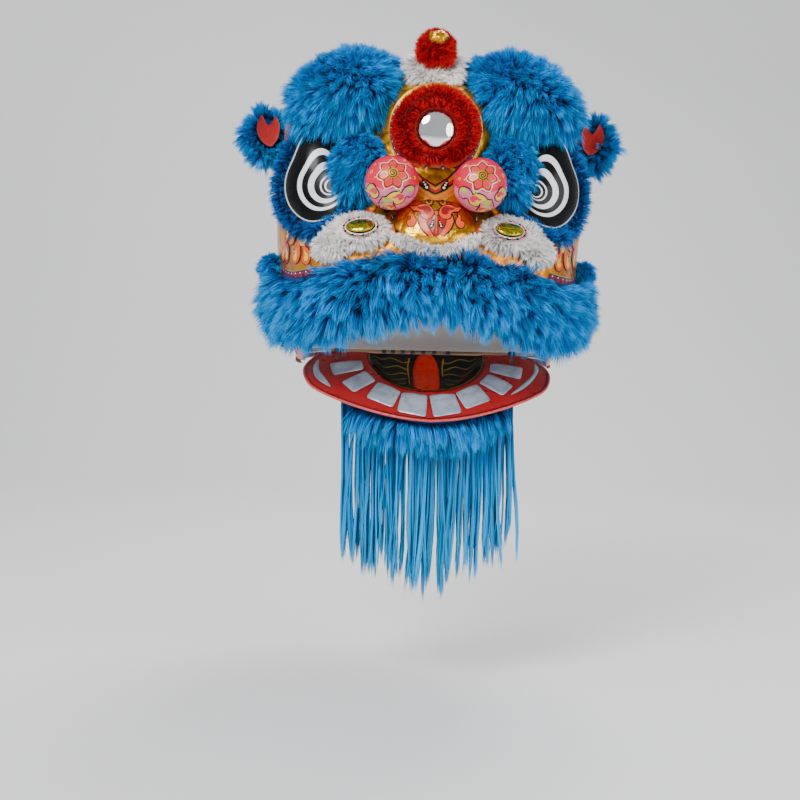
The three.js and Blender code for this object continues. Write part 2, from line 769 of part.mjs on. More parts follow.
function beard() {
  const place = (x, down) => underJaw(x, BEARD.inset).add(vec(0, 0, BEARD.top - down));
  const backing = outwardSolid(sausage(4, 10, (t) => {
    const x = (2 * t - 1) * (BEARD.half - 6);
    return { point: place(x, 14), side: vec(0, 0, 1), out: vec(0, -1, 0) };
  }, (t, angle) => ({ side: 22 * Math.sin(angle), out: 10 * Math.cos(angle) })));
  const random = seriesOf(29);
  const locks = [];
  for (let i = 0; i < BEARD.strands; i += 1) {
    const x = -BEARD.half + 12 + ((2 * BEARD.half - 24) * i) / (BEARD.strands - 1);
    const root = place(x * 0.97, 12);
    const length = BEARD.length * (0.86 + 0.14 * random()) - Math.abs(x) * 0.18;
    const tip = root.clone().add(vec(x * 0.04 + (random() - 0.5) * 12, (random() - 0.5) * 14, -length));
    locks.push({ root, tip, bend: vec(0, -9, 0), width: BEARD.width, rings: STRAND_RINGS });
  }
  return furred(backing, locks);
}
add('beard', beard(), FINISHES.hair, { inside: true });

// Forehead: a round painted boss, the mirror with its rim, and the red fur ring round it
const BOSS = { z: 410, radius: 86, rise: 12, drop: 11, depth: 60 };
const MIRROR = { radius: 36, edge: 7, dome: 11 };
const RIM = { inner: 36.8, outer: 42, rise: 13 };
const RED_RING = { middle: 60, tube: 17, rise: 32 };
const bossSeat = seat(0, -100, BOSS.z, vec(0, -1, 0.02));
const bossHeight = (radius) => BOSS.rise - BOSS.drop * (radius / BOSS.radius) ** 2;
const bossGap = 1.6 * SEAT_GAP;

const draped = (place, columns, rows, outline, lift, sink) => outwardSolid(
  pebble(columns, rows, (angle, reach, bulge) => {
    const size = outline(angle);
    const spot = onSeat(place, Math.cos(angle) * reach * size.u, Math.sin(angle) * reach * size.v);
    return spot.addScaledVector(place.normal, bulge >= 0 ? lift(reach, bulge, angle) : -sink);
  }),
);

const onBoss = (angle, radius, height) => bossSeat.origin.clone()
  .addScaledVector(bossSeat.right, Math.cos(angle) * radius)
  .addScaledVector(bossSeat.up, Math.sin(angle) * radius)
  .addScaledVector(bossSeat.normal, height);

const boss = outwardSolid(pebble(20, 6, (angle, reach, bulge) => {
  const radius = reach * BOSS.radius;
  return onBoss(angle, radius, bulge >= -1e-6 ? bossHeight(radius) : -BOSS.depth);
}));
add('forehead_plate', boss, FINISHES.paintedPaper);

const mirrorDisc = outwardSolid(pebble(18, 6, (angle, reach, bulge) => {
  const radius = reach * MIRROR.radius;
  const front = MIRROR.edge + MIRROR.dome * Math.max(bulge, 0);
  return onBoss(angle, radius, bossHeight(radius) + (bulge >= -1e-6 ? front : bossGap));
}));
add('mirror', mirrorDisc, FINISHES.mirror);

// A ring with a flat back that lies on the boss
const bossRing = (columns, rows, radiusAt, rise) => outwardSolid(ring(columns, rows, (angle, tube) => {
  const radius = radiusAt(angle, tube);
  return onBoss(angle, radius, bossHeight(radius) + bossGap + rise * Math.max(0, Math.sin(tube)));
}));

const rimMiddle = (RIM.inner + RIM.outer) / 2;
const rimRadius = (angle, tube) => rimMiddle + (Math.cos(tube) * (RIM.outer - RIM.inner)) / 2;
add('mirror_rim', bossRing(18, 6, rimRadius, RIM.rise), FINISHES.silver);

const RED_COLUMNS = 18;
const redRadius = (angle, tube) => {
  const outer = Math.cos(tube) > 0 ? pointed(angle, RED_COLUMNS, 0.26) : 1;
  return RED_RING.middle + Math.cos(tube) * RED_RING.tube * outer;
};
add('mirror_ring', bossRing(RED_COLUMNS, 6, redRadius, RED_RING.rise), FINISHES.redFur);

// Horn at the crown: a hollow paper cone with two tiers of white fur and a red ball with a foil knob
const HORN = {
  base: vec(0, -42, 486), top: vec(0, -94, 550), baseRadius: 58, topRadius: 24, wall: 2.5, skirt: 30,
};
const hornAxis = HORN.top.clone().sub(HORN.base);
const hornFrame = new Matrix4().makeRotationFromQuaternion(
  new THREE.Quaternion().setFromUnitVectors(vec(0, 1, 0), hornAxis.clone().normalize()),
).setPosition(HORN.base);

function hornBody() {
  const length = hornAxis.length();
  const waist = (HORN.baseRadius + HORN.topRadius) / 2 - 3;
  const profile = [
    [HORN.baseRadius - HORN.wall, -HORN.skirt], [HORN.baseRadius, -HORN.skirt],
    [waist, length * 0.5], [HORN.topRadius, length],
    [0, length], [0, length - HORN.wall], [HORN.topRadius - HORN.wall, length - HORN.wall],
    [waist - HORN.wall, length * 0.5], [HORN.baseRadius - HORN.wall, -HORN.skirt],
  ].map(([a, b]) => new THREE.Vector2(a, b));
  const geometry = new THREE.LatheGeometry(profile, 14);
  geometry.applyMatrix4(hornFrame);
  return outwardSolid(geometry);
}

const onHorn = (angle, radius, along) => vec(Math.cos(angle) * radius, along, Math.sin(angle) * radius)
  .applyMatrix4(hornFrame);

function hornTier(middle, tube, along, tall) {
  const columns = 16;
  return outwardSolid(ring(columns, 5, (angle, tubeAngle) => {
    const outer = Math.cos(tubeAngle) > 0.2 ? pointed(angle, columns, 0.4) : 1;
    return onHorn(
      angle,
      middle + Math.cos(tubeAngle) * tube * outer,
      along + Math.sin(tubeAngle) * tall - 12 * Math.max(0, outer - 1),
    );
  }));
}

add('horn', hornBody(), FINISHES.goldFoil);
add('horn_fur_upper', hornTier(38, 23, 56, 22), FINISHES.whiteFur);
add('horn_fur_lower', hornTier(56, 20, 22, 17), FINISHES.whiteFur);

// A round fur ball whose every second corner is the tip of a lock
function furBall(centre, radius, columns, rows) {
  return outwardSolid(reshape(new THREE.SphereGeometry(1, columns, rows), (p) => {
    const around = Math.round((Math.atan2(p.z, p.x) / TAU) * columns);
    const down = Math.round((Math.acos(THREE.MathUtils.clamp(p.y, -1, 1)) / Math.PI) * rows);
    const isTip = (Math.abs(around) + down) % 2 === 0;
    return centre.clone().addScaledVector(vec(p.x, p.z, p.y), radius * (isTip ? 1.12 : 0.94));
  }));
}

const POM = { centre: vec(0, -98, 562), radius: 45 };
const KNOB = { radius: 18, height: 13, outward: vec(0.05, -0.88, 0.47) };

function hornKnob() {
  const outward = KNOB.outward.clone().normalize();
  const centre = POM.centre.clone().addScaledVector(outward, POM.radius * 0.86);
  const right = vec(1, 0, 0).cross(outward).cross(outward).negate().normalize();
  const up = outward.clone().cross(right);
  return outwardSolid(pebble(10, 6, (angle, reach, bulge) => {
    const crumple = 1 + 0.09 * Math.cos(angle * 5) * reach;
    return centre.clone()
      .addScaledVector(right, Math.cos(angle) * reach * KNOB.radius * crumple)
      .addScaledVector(up, Math.sin(angle) * reach * KNOB.height * crumple)
      .addScaledVector(outward, bulge * 11);
  }));
}
add('horn_knob', hornKnob(), FINISHES.goldFoil);
add('horn_ball', furBall(POM.centre, POM.radius, 12, 8), FINISHES.redFur);

// Nose: a moulded gold panel with a ridge, and a white fur trim below it
const NOSE = { z: 234, halfWidth: 74, halfHeight: 42, lift: 24 };
const noseSeat = seat(0, -150, NOSE.z, vec(0, -1, 0.12));

function nose() {
  return draped(noseSeat, 20, 8, (angle) => {
    const point = Math.sin(angle) < 0 ? 1 + 0.12 * Math.abs(Math.sin(angle)) ** 6 : 1;
    const corner = 1 / Math.hypot(Math.cos(angle), Math.sin(angle)) / Math.max(
      Math.abs(Math.cos(angle)) ** 3 + Math.abs(Math.sin(angle)) ** 3,
      1e-6,
    ) ** 0.25;
    return { u: NOSE.halfWidth * corner, v: NOSE.halfHeight * point * corner };
  }, (reach, bulge, angle) => {
    const ridge = 7 * Math.exp(-((Math.cos(angle) * reach * NOSE.halfWidth) ** 2) / 120) * bulge;
    return 3 + NOSE.lift * bulge ** 0.8 + ridge;
  }, 4);
}
add('nose', nose(), FINISHES.goldFoil);

// Painted balls beside the bridge of the nose, each on a short post
const BALL = { x: 79, y: -214, z: 312, radius: 49 };

function noseBall(sign) {
  const geometry = new THREE.SphereGeometry(BALL.radius, 14, 9);
  geometry.translate(BALL.x * sign, BALL.y, BALL.z);
  const post = new THREE.CylinderGeometry(7, 7, 110, 6);
  post.translate(BALL.x * sign, BALL.y + 55, BALL.z);
  return outwardSolid(geometry).add(outwardSolid(post));
}
for (const { name, sign } of SIDES) add(`nose_ball_${name}`, noseBall(sign), FINISHES.ballPaint);

// Nostril: an oval gold button in a pad of white fur, with a smaller pad further out
const NOSTRIL = { x: 76, z: 209, u: 25, v: 13, lift: 26 };
const PAD = { x: 88, z: 203, u: 64, v: 36, lift: 20, columns: 16 };
const CHEEK_PAD = { x: 134, z: 174, u: 34, v: 24, lift: 17, columns: 12 };
const padOutward = (sign) => vec(0.35 * sign, -1, 0.15);

function nostril(sign) {
  const place = seat(NOSTRIL.x * sign, -60, NOSTRIL.z, padOutward(sign));
  const outline = () => ({ u: NOSTRIL.u, v: NOSTRIL.v });
  return draped(place, 14, 4, outline, (reach, bulge) => NOSTRIL.lift + 4 * bulge, 2);
}

function furPad(pad, sign) {
  const place = seat(pad.x * sign, -60, pad.z, padOutward(sign));
  return draped(place, pad.columns, 6, (angle) => {
    const outer = pointed(angle, pad.columns, 0.16);
    return { u: pad.u * outer, v: pad.v * outer };
  }, (reach, bulge) => 3 + pad.lift * bulge ** 0.6, 4);
}
for (const { name, sign } of SIDES) {
  add(`nostril_${name}`, nostril(sign), FINISHES.goldFoil);
  add(`nostril_pad_${name}`, furPad(PAD, sign), FINISHES.whiteFur);
  add(`cheek_fur_${name}`, furPad(CHEEK_PAD, sign), FINISHES.whiteFur);
}

const TRIM = { halfWidth: 80, tube: 10 };

function noseTrim() {
  return outwardSolid(sausage(5, 16, (t) => {
    const across = 2 * t - 1;
    const u = across * TRIM.halfWidth;
    const v = -NOSE.halfHeight - 11 + 30 * Math.abs(across) ** 1.6;
    const point = onSeat(noseSeat, u, v).addScaledVector(noseSeat.normal, 12);
    return { point, side: vec(across * 0.5, 0, 1).normalize(), out: noseSeat.normal };
  }, (t, angle) => ({
    side: TRIM.tube * (1 + 0.15 * Math.cos(t * 16 * Math.PI)) * Math.sin(angle),
    out: (TRIM.tube + 4) * Math.cos(angle),
  })));
}
add('nose_trim', noseTrim(), FINISHES.whiteFur);

// Eyes: glossy drop-shaped domes with a fur trim round them
const EYE = { x: 182, z: 302, radius: 73, peak: 50, dome: 34 };
const eyeSeat = (sign) => seat(EYE.x * sign, 0, EYE.z, vec(0.26 * sign, -1, 0.04));

function eyeOutline(angle, sign) {
  const local = sign > 0 ? angle : Math.PI - angle;
  const away = Math.atan2(Math.sin(local - rad(97)), Math.cos(local - rad(97)));
  return EYE.radius + EYE.peak * Math.exp(-((away / 0.45) ** 2));
}

function eye(sign) {
  return draped(eyeSeat(sign), 20, 6, (angle) => {
    const size = eyeOutline(angle, sign);
    return { u: size, v: size };
  }, (reach, bulge) => 3 + EYE.dome * bulge ** 0.9, 3);
}

const EYE_TRIM = { offset: 13, half: 13, rise: 15 };

function eyeTrim(sign) {
  const place = eyeSeat(sign);
  const at = (angle, extra, height) => {
    const size = eyeOutline(angle, sign) + extra;
    return onSeat(place, Math.cos(angle) * size, Math.sin(angle) * size)
      .addScaledVector(place.normal, height);
  };
  const columns = 20;
  return outwardSolid(ring(columns, 4, (angle, tube) => {
    const outer = Math.cos(tube) > 0 ? pointed(angle, columns, 0.3) : 1;
    const extra = EYE_TRIM.offset + EYE_TRIM.half * Math.cos(tube) * outer;
    return at(angle, extra, 4 + EYE_TRIM.rise * Math.sin(tube));
  }));
}
for (const { name, sign } of SIDES) add(`eye_${name}`, eye(sign), FINISHES.eyeGloss);

// Eyelid: a fur flap hinged under the brow, hanging over the inner half of the eye
const LID = { x: 122, z: 342, u: 50, v: 64, lift: 38, hinge: vec(118, -132, 398) };
const lidSwing = (sign) => ({
  point: vec(LID.hinge.x * sign, LID.hinge.y, LID.hinge.z),
  axis: vec(1, 0.26 * sign, 0).normalize(),
  from: -22,
  to: 0,
});

function eyelid(sign) {
  const place = seat(LID.x * sign, -60, LID.z, vec(0.26 * sign, -1, 0.04));
  const columns = 16;
  return draped(place, columns, 6, (angle) => {
    const down = Math.max(0, -Math.sin(angle));
    const hanging = down > 0.2 ? pointed(angle, columns, 0.16) : 1;
    return { u: LID.u * (1 - 0.25 * down) * hanging, v: LID.v * (1 + 0.1 * down) * hanging };
  }, (reach, bulge) => 12 + LID.lift * bulge ** 0.45, 4);
}
for (const { name, sign } of SIDES) {
  add(`eyelid_${name}`, eyelid(sign), FINISHES.blueFur, { swing: lidSwing(sign) });
}
for (const { name, sign } of SIDES) {
  add(`eye_trim_${name}`, eyeTrim(sign), FINISHES.blueFur);
}

// Ears: a red felt cup in a lobed fur ear, hinged at its inner edge
const EAR = { x: 320, y: 34, z: 404, u: 50, v: 56, depth: 24 };
const CUP = { x: 312, y: 10, z: 412, u: 24, v: 29 };
const earSwing = (sign) => ({
  point: vec(276 * sign, EAR.y, 398),
  axis: vec(0, 1, 0),
  from: -15,
  to: 15,
});
const earAt = (u, v, depth) => vec(EAR.x + u, EAR.y - depth - u * 0.25, EAR.z + v);

function earCup(sign) {
  const body = outwardSolid(pebble(12, 4, (angle, reach, bulge) => {
    const leaf = 1 + 0.16 * Math.cos(2 * angle + 0.6);
    return vec(
      CUP.x + Math.cos(angle) * reach * CUP.u * leaf,
      CUP.y + (bulge < 0 ? 6 : -2 * bulge) + 10 * (1 - reach),
      CUP.z + Math.sin(angle) * reach * CUP.v * leaf,
    );
  }));
  return mirrored(body, sign);
}

function earFur(sign) {
  const backing = outwardSolid(pebble(20, 6, (angle, reach, bulge) => {
    const lobes = 1 + 0.13 * Math.cos(angle * 5 + 0.4);
    const hollow = bulge > 0 ? -12 * (1 - reach) : 0;
    const u = Math.cos(angle) * reach * EAR.u * lobes;
    const v = Math.sin(angle) * reach * EAR.v * lobes;
    return earAt(u, v, bulge * EAR.depth + hollow);
  }));
  const random = seriesOf(61);
  const locks = [];
  const count = 7;
  for (let i = 0; i < count; i += 1) {
    const angle = rad(-110) + (rad(250) * i) / (count - 1);
    const at = (reach, depth) => (
      earAt(Math.cos(angle) * reach * EAR.u, Math.sin(angle) * reach * EAR.v, depth)
    );
    locks.push({ root: at(0.6, 4), tip: at(1.24 + 0.12 * random(), 2), bend: vec(0, -6, 0), width: 19 });
  }
  return mirrored(furred(backing, locks), sign);
}
for (const { name, sign } of SIDES) {
  add(`ear_cup_${name}`, earCup(sign), FINISHES.redFelt, { swing: earSwing(sign) });
  const mates = [`ear_cup_${name}`];
  add(`ear_fur_${name}`, earFur(sign), FINISHES.blueFur, { swing: earSwing(sign), mates });
}

// Brows: deep fur mounds that overhang the eyes
const BROW = { centre: vec(163, -48, 476), along: 116, across: 80, depth: 94, tilt: rad(-24) };

function brow(sign) {
  const long = vec(Math.cos(BROW.tilt), 0, Math.sin(BROW.tilt));
  const tall = vec(-Math.sin(BROW.tilt), 0, Math.cos(BROW.tilt));
  const at = (outward, scale) => BROW.centre.clone()
    .addScaledVector(long, outward.x * BROW.along * scale)
    .addScaledVector(vec(0, -1, 0), outward.y * BROW.depth * scale)
    .addScaledVector(tall, outward.z * BROW.across * scale);
  const backing = outwardSolid(reshape(new THREE.SphereGeometry(1, 12, 9), (p) => at(vec(p.x, p.z, p.y), 0.95)));
  const random = seriesOf(71);
  const locks = [];
  const count = 17;
  for (let i = 0; i < count; i += 1) {
    const height = 1 - (2 * (i + 0.5)) / count;
    const turn = i * 2.39996;
    const flat = Math.sqrt(1 - height * height);
    const outward = vec(Math.cos(turn) * flat, Math.sin(turn) * flat, height);
    if (outward.y < -0.45 || outward.z < -0.75) continue;
    const tip = at(outward, 1.12 + 0.06 * random()).add(vec(0, 0, -10 - 8 * random()));
    locks.push({ root: at(outward, 0.7), tip, bend: vec(0, 0, 9), width: 25 });
  }
  return mirrored(furred(backing, locks), sign);
}
for (const { name, sign } of SIDES) add(`brow_${name}`, brow(sign), FINISHES.blueFur);

// Cheeks and lip: round tufts at the ends of a long fur band along the upper lip
const TUFT = { centre: vec(300, -22, 156), radius: 27 };
for (const { name, sign } of SIDES) {
  const body = mirrored(furBall(TUFT.centre, TUFT.radius, 10, 7), sign);
  add(`cheek_tuft_${name}`, body, FINISHES.blueFur);
}

const LIP = { sweep: rad(94), out: 34, sunk: 12, locks: 10 };
const lipHigh = (x) => 198 - 28 * Math.min(1, Math.abs(x) / 240) ** 1.1;
const lipLow = (x) => 88 - 66 * Math.min(1, Math.abs(x) / 225) ** 1.1;

function lipPlace(turn) {
  const outward = vec(Math.sin(turn), -Math.cos(turn), 0);
  const across = skullHit(vec(0, SKULL_CENTRE.y, 130), outward).x;
  const high = lipHigh(across);
  const low = lipLow(across);
  const point = skullHit(vec(0, SKULL_CENTRE.y, Math.max((high + low) / 2, 90)), outward);
  point.z = (high + low) / 2;
  return { point, outward, half: (high - low) / 2 };
}

function lipFur() {
  const backing = outwardSolid(sausage(8, 20, (t) => {
    const place = lipPlace((2 * t - 1) * LIP.sweep);
    return { point: place.point, side: vec(0, 0, 1), out: place.outward };
  }, (t, angle) => {
    const place = lipPlace((2 * t - 1) * LIP.sweep);
    const forward = Math.cos(angle);
    const reach = forward > 0 ? LIP.out : LIP.sunk;
    return { side: place.half * 0.93 * Math.sin(angle), out: forward * reach };
  }));
  const random = seriesOf(97);
  const locks = [];
  const rows = [
    { rise: -0.5, tipRise: -1.16, tipOut: 28, width: 22 },
    { rise: 0.3, tipRise: 0.1, tipOut: 52, width: 22 },
  ];
  for (const row of rows) {
    for (let i = 0; i < LIP.locks; i += 1) {
      const turn = LIP.sweep * 0.95 * ((2 * i) / (LIP.locks - 1) - 1);
      const place = lipPlace(turn);
      const at = (out, rise) => place.point.clone().addScaledVector(place.outward, out)
        .add(vec(0, 0, rise * place.half));
      const tip = at(row.tipOut + 6 * random(), row.tipRise + 0.12 * random());
      const bend = place.outward.clone().multiplyScalar(8);
      locks.push({ root: at(8, row.rise), tip, bend, width: row.width });
    }
  }
  return furred(backing, locks);
}
add('lip_fur', lipFur(), FINISHES.blueFur);

export default group;
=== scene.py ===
# %% [markdown]
# # A lion dance head
# The head is a light paper shell, painted by hand and trimmed with deep fur. Everything that moves or
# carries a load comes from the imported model. This lesson adds what the eye sees: fur made of thin
# blades, painted ornament laid on as thin sheets of colour, foil, mirror glass and a long hair beard.

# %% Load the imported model
import math

import bpy
import numpy as np
from mathutils import Matrix, Vector, geometry, kdtree


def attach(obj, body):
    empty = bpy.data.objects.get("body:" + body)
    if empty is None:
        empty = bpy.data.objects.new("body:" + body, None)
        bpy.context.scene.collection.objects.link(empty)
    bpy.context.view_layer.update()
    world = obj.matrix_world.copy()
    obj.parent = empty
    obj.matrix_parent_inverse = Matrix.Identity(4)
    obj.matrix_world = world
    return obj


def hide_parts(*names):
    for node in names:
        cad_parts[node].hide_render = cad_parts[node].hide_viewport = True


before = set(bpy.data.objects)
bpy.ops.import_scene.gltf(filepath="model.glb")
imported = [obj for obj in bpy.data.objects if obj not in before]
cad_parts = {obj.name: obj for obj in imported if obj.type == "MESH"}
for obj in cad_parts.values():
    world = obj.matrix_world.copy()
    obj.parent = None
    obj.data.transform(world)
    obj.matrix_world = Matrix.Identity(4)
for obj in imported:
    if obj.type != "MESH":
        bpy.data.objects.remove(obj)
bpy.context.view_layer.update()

MM = 0.001
SIDES = (("left", 1), ("right", -1))

# %% [markdown]
# ## The camera
# The view of the photograph is matched by a short telephoto lens three metres away, a little to one
# side and slightly above the bar, with the camera tipped by a degree or two.

# %% Camera
CAMERA_DISTANCE = 3.0
CAMERA_HEIGHT = 0.2
CAMERA_TURN = math.radians(-3.0)
CAMERA_HEADING = math.radians(2.11)
CAMERA_PITCH = math.radians(5.7)
CAMERA_ROLL = math.radians(1.5)
LENS_MM = 69.5


def add_camera():
    spot = Vector((CAMERA_DISTANCE * math.sin(CAMERA_TURN),
                   -CAMERA_DISTANCE * math.cos(CAMERA_TURN), CAMERA_HEIGHT))
    ahead = Vector((math.sin(CAMERA_HEADING) * math.cos(CAMERA_PITCH),
                    math.cos(CAMERA_HEADING) * math.cos(CAMERA_PITCH), -math.sin(CAMERA_PITCH)))
    level = ahead.cross(Vector((0, 0, 1))).normalized()
    upright = level.cross(ahead)
    right = level * math.cos(CAMERA_ROLL) + upright * math.sin(CAMERA_ROLL)
    up = upright * math.cos(CAMERA_ROLL) - level * math.sin(CAMERA_ROLL)
    lens = bpy.data.cameras.new("camera")
    lens.lens = LENS_MM
    camera = bpy.data.objects.new("camera", lens)
    bpy.context.scene.collection.objects.link(camera)
    camera.matrix_world = Matrix.Translation(spot) @ Matrix((right, up, -ahead)).transposed().to_4x4()
    bpy.context.scene.camera = camera
    print("camera at", tuple(round(value, 3) for value in spot))


add_camera()

# %% [markdown]
# ## Floor and light
# A pale sheet of paper runs along the floor and curves up behind the head, as in a studio. One large
# light stands to the front and left, a weaker one fills the shadows, and one above and behind picks
# out the tips of the fur.

# %% Backdrop and lights
FLOOR_Z = -0.62
FLOOR_FRONT, FLOOR_BACK = -6.0, 2.2
PAPER_HALF_WIDTH, PAPER_TOP = 7.0, 6.0
SWEEP_RADIUS, SWEEP_STEPS = 1.2, 24
LIGHTS = (
    # name, place, aim, diameter in metres, power in watts
    ("key", (-1.6, -2.4, 2.2), (0, 0, 0.1), 1.6, 120),
    ("fill", (2.2, -2.2, 0.6), (0, 0, 0.05), 2.0, 42),
    ("back", (0.8, 1.6, 2.4), (0, 0, 0.2), 1.4, 70),
)
SKY_COLOR, SKY_STRENGTH = (0.93, 0.95, 1.0, 1), 0.55


def add_backdrop():
    sweep = []
    for step in range(SWEEP_STEPS + 1):
        turn = math.radians(90 * step / SWEEP_STEPS)
        sweep.append((FLOOR_BACK + SWEEP_RADIUS * math.sin(turn),
                      FLOOR_Z + SWEEP_RADIUS - SWEEP_RADIUS * math.cos(turn)))
    profile = [(FLOOR_FRONT, FLOOR_Z)] + sweep + [(FLOOR_BACK + SWEEP_RADIUS, PAPER_TOP)]
    points = [(x, y, z) for y, z in profile for x in (-PAPER_HALF_WIDTH, PAPER_HALF_WIDTH)]
    faces = [(2 * i, 2 * i + 1, 2 * i + 3, 2 * i + 2) for i in range(len(profile) - 1)]
    mesh = bpy.data.meshes.new("backdrop")
    mesh.from_pydata(points, [], faces)
    mesh.shade_smooth()
    paper = bpy.data.materials.new("backdrop_paper")
    paper.use_nodes = True
    shader = paper.node_tree.nodes["Principled BSDF"]
    shader.inputs["Base Color"].default_value = (0.86, 0.86, 0.86, 1)
    shader.inputs["Roughness"].default_value = 0.9
    mesh.materials.append(paper)
    backdrop = bpy.data.objects.new("backdrop", mesh)
    bpy.context.scene.collection.objects.link(backdrop)


def add_light(name, spot, aim, size, power):
    data = bpy.data.lights.new(name, "AREA")
    data.shape = "DISK"
    data.size = size
    data.energy = power
    light = bpy.data.objects.new(name, data)
    bpy.context.scene.collection.objects.link(light)
    light.location = spot
    light.rotation_euler = (Vector(aim) - Vector(spot)).to_track_quat("-Z", "Y").to_euler()


add_backdrop()
for light in LIGHTS:
    add_light(*light)
world = bpy.data.worlds.new("studio")
world.use_nodes = True
sky = world.node_tree.nodes["Background"]
sky.inputs["Color"].default_value = SKY_COLOR
sky.inputs["Strength"].default_value = SKY_STRENGTH
bpy.context.scene.world = world
print(len(LIGHTS), "lights and a backdrop")

# %% [markdown]
# ## Small helpers for meshes
# Every form here is a grid of points worked out by a formula, so one helper makes the mesh and
# another makes the piece ride on its body. A grid that wraps round and ends in two poles gives pebbles
# and sausages. A grid that wraps both ways gives a ring.

# %% Meshes and pieces


def new_mesh(name, points, faces, maps=None):
    """A mesh from points in millimetres and a list of arrays of faces, with optional named UV maps."""
    mesh = bpy.data.meshes.new(name)
    corners = np.concatenate([group.ravel() for group in faces]).astype(np.int32)
    sizes = np.concatenate([np.full(len(group), group.shape[1]) for group in faces])
    starts = np.concatenate([[0], np.cumsum(sizes)[:-1]]).astype(np.int32)
    mesh.vertices.add(len(points))
    mesh.loops.add(len(corners))
    mesh.polygons.add(len(sizes))
    mesh.vertices.foreach_set("co", (np.asarray(points, dtype=np.float64) * MM).ravel())
    mesh.loops.foreach_set("vertex_index", corners)
    mesh.polygons.foreach_set("loop_start", starts)
    for label, values in (maps or {}).items():
        layer = mesh.uv_layers.new(name=label)
        layer.data.foreach_set("uv", np.asarray(values, dtype=np.float64)[corners].ravel())
    mesh.update(calc_edges=True)
    mesh.shade_smooth()
    return mesh


def piece(name, body, mesh, finishes, nodes=()):
    for finish in finishes:
        mesh.materials.append(finish)
    thing = bpy.data.objects.new(name, mesh)
    bpy.context.scene.collection.objects.link(thing)
    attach(thing, body)
    if nodes:
        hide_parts(*nodes)
    return thing


def triangles_of(faces):
    parts = []
    for group in faces:
        parts.append(group[:, :3])
        if group.shape[1] == 4:
            parts.append(group[:, [0, 2, 3]])
    return np.concatenate(parts)


def turned_outward(points, faces):
    a, b, c = (points[triangles_of(faces)[:, k]] for k in range(3))
    if np.einsum("ij,ij->i", a, np.cross(b, c)).sum() < 0:
        return points, [group[:, ::-1] for group in faces]
    return points, faces


def grid_faces(rows, columns, wrap_rows=False):
    row = np.arange(rows if wrap_rows else rows - 1)[:, None]
    column = np.arange(columns)[None, :]
    below = (row + 1) % rows
    beside = (column + 1) % columns
    quads = np.stack([row * columns + column, row * columns + beside,
                      below * columns + beside, below * columns + column], axis=-1)
    return quads.reshape(-1, 4)


def with_poles(rings, first, last):
    """Rings of points (rows, columns, 3) closed by a point at each end."""
    rows, columns = rings.shape[:2]
    points = np.concatenate([rings.reshape(-1, 3), first[None, :], last[None, :]])
    column = np.arange(columns)
    beside = (column + 1) % columns
    top = np.stack([np.full(columns, rows * columns), beside, column], axis=-1)
    base = (rows - 1) * columns
    bottom = np.stack([np.full(columns, rows * columns + 1), base + column, base + beside], axis=-1)
    return turned_outward(points, [grid_faces(rows, columns), np.concatenate([top, bottom])])


def pebble(columns, rows, place):
    angle, fall = np.meshgrid(np.arange(columns) * 2 * np.pi / columns,
                              np.pi * np.arange(1, rows) / rows)
    rings = place(angle.ravel(), np.sin(fall).ravel(), np.cos(fall).ravel())
    poles = place(np.zeros(2), np.zeros(2), np.array([1.0, -1.0]))
    return with_poles(rings.reshape(rows - 1, columns, 3), poles[0], poles[1])


def sausage(columns, rows, path, section):
    """path(t) gives points and two directions, section(t, angle) gives the offsets along them."""
    t, angle = (grid.ravel() for grid in np.meshgrid(np.arange(1, rows) / rows,
                                                     np.arange(columns) * 2 * np.pi / columns,
                                                     indexing="ij"))
    fullness = np.minimum(1, np.sin(t * np.pi) * 2.2) ** 0.6
    point, side, out = path(t)
    along_side, along_out = section(t, angle)
    rings = (point + side * (along_side * fullness)[:, None] + out * (along_out * fullness)[:, None])
    ends = path(np.array([0.0, 1.0]))[0]
    return with_poles(rings.reshape(rows - 1, columns, 3), ends[0], ends[1])


def ring(columns, rows, place):
    angle, tube = (grid.ravel() for grid in np.meshgrid(np.arange(columns) * 2 * np.pi / columns,
                                                        np.arange(rows) * 2 * np.pi / rows,
                                                        indexing="ij"))
    return turned_outward(place(angle, tube), [grid_faces(columns, rows, wrap_rows=True)])


def unit(vectors):
    return vectors / np.maximum(np.linalg.norm(vectors, axis=-1, keepdims=True), 1e-9)


def same_way(spot, *way):
    """One direction, given to every point."""
    return np.broadcast_to(np.array(way, dtype=float), spot.shape)


def strip_points(line, side, half):
    """Strips round their middle lines: a left row of points, a right row and one tip."""
    left, right = line[:, :-1] + side * half, line[:, :-1] - side * half
    return np.concatenate([left, right, line[:, -1:]], axis=1).reshape(-1, 3)


def strip_faces(count, steps):
    first = np.arange(count)[:, None] * (2 * steps + 1)
    k = np.arange(steps - 1)[None, :]
    quads = np.stack([first + k, first + k + 1, first + steps + k + 1, first + steps + k], axis=-1)
    end = first[:, 0] + 2 * steps
    return quads.reshape(-1, 4), np.stack([first[:, 0] + steps - 1, end, end - 1], axis=-1)


def strip_shade(tone, t):
    """For each point, how light its strip is and how far along the strip it lies."""
    rows = np.concatenate([t[:-1], t[:-1], [1.0]])
    shape = (len(tone), len(rows))
    shade = np.stack([np.broadcast_to(tone[:, None], shape), np.broadcast_to(rows, shape)], axis=-1)
    return shade.reshape(-1, 2)


print("mesh helpers ready")

# %% [markdown]
# ## The skull's surface
# The shell is one blend of rounded lobes: a cranium, a muzzle, the bridge of the nose, a forehead and
# two brow and eye lobes. A ray that comes in from outside finds the surface by small steps and then by
# halving. A seat is a place on that surface with directions to the right, up and out of it.

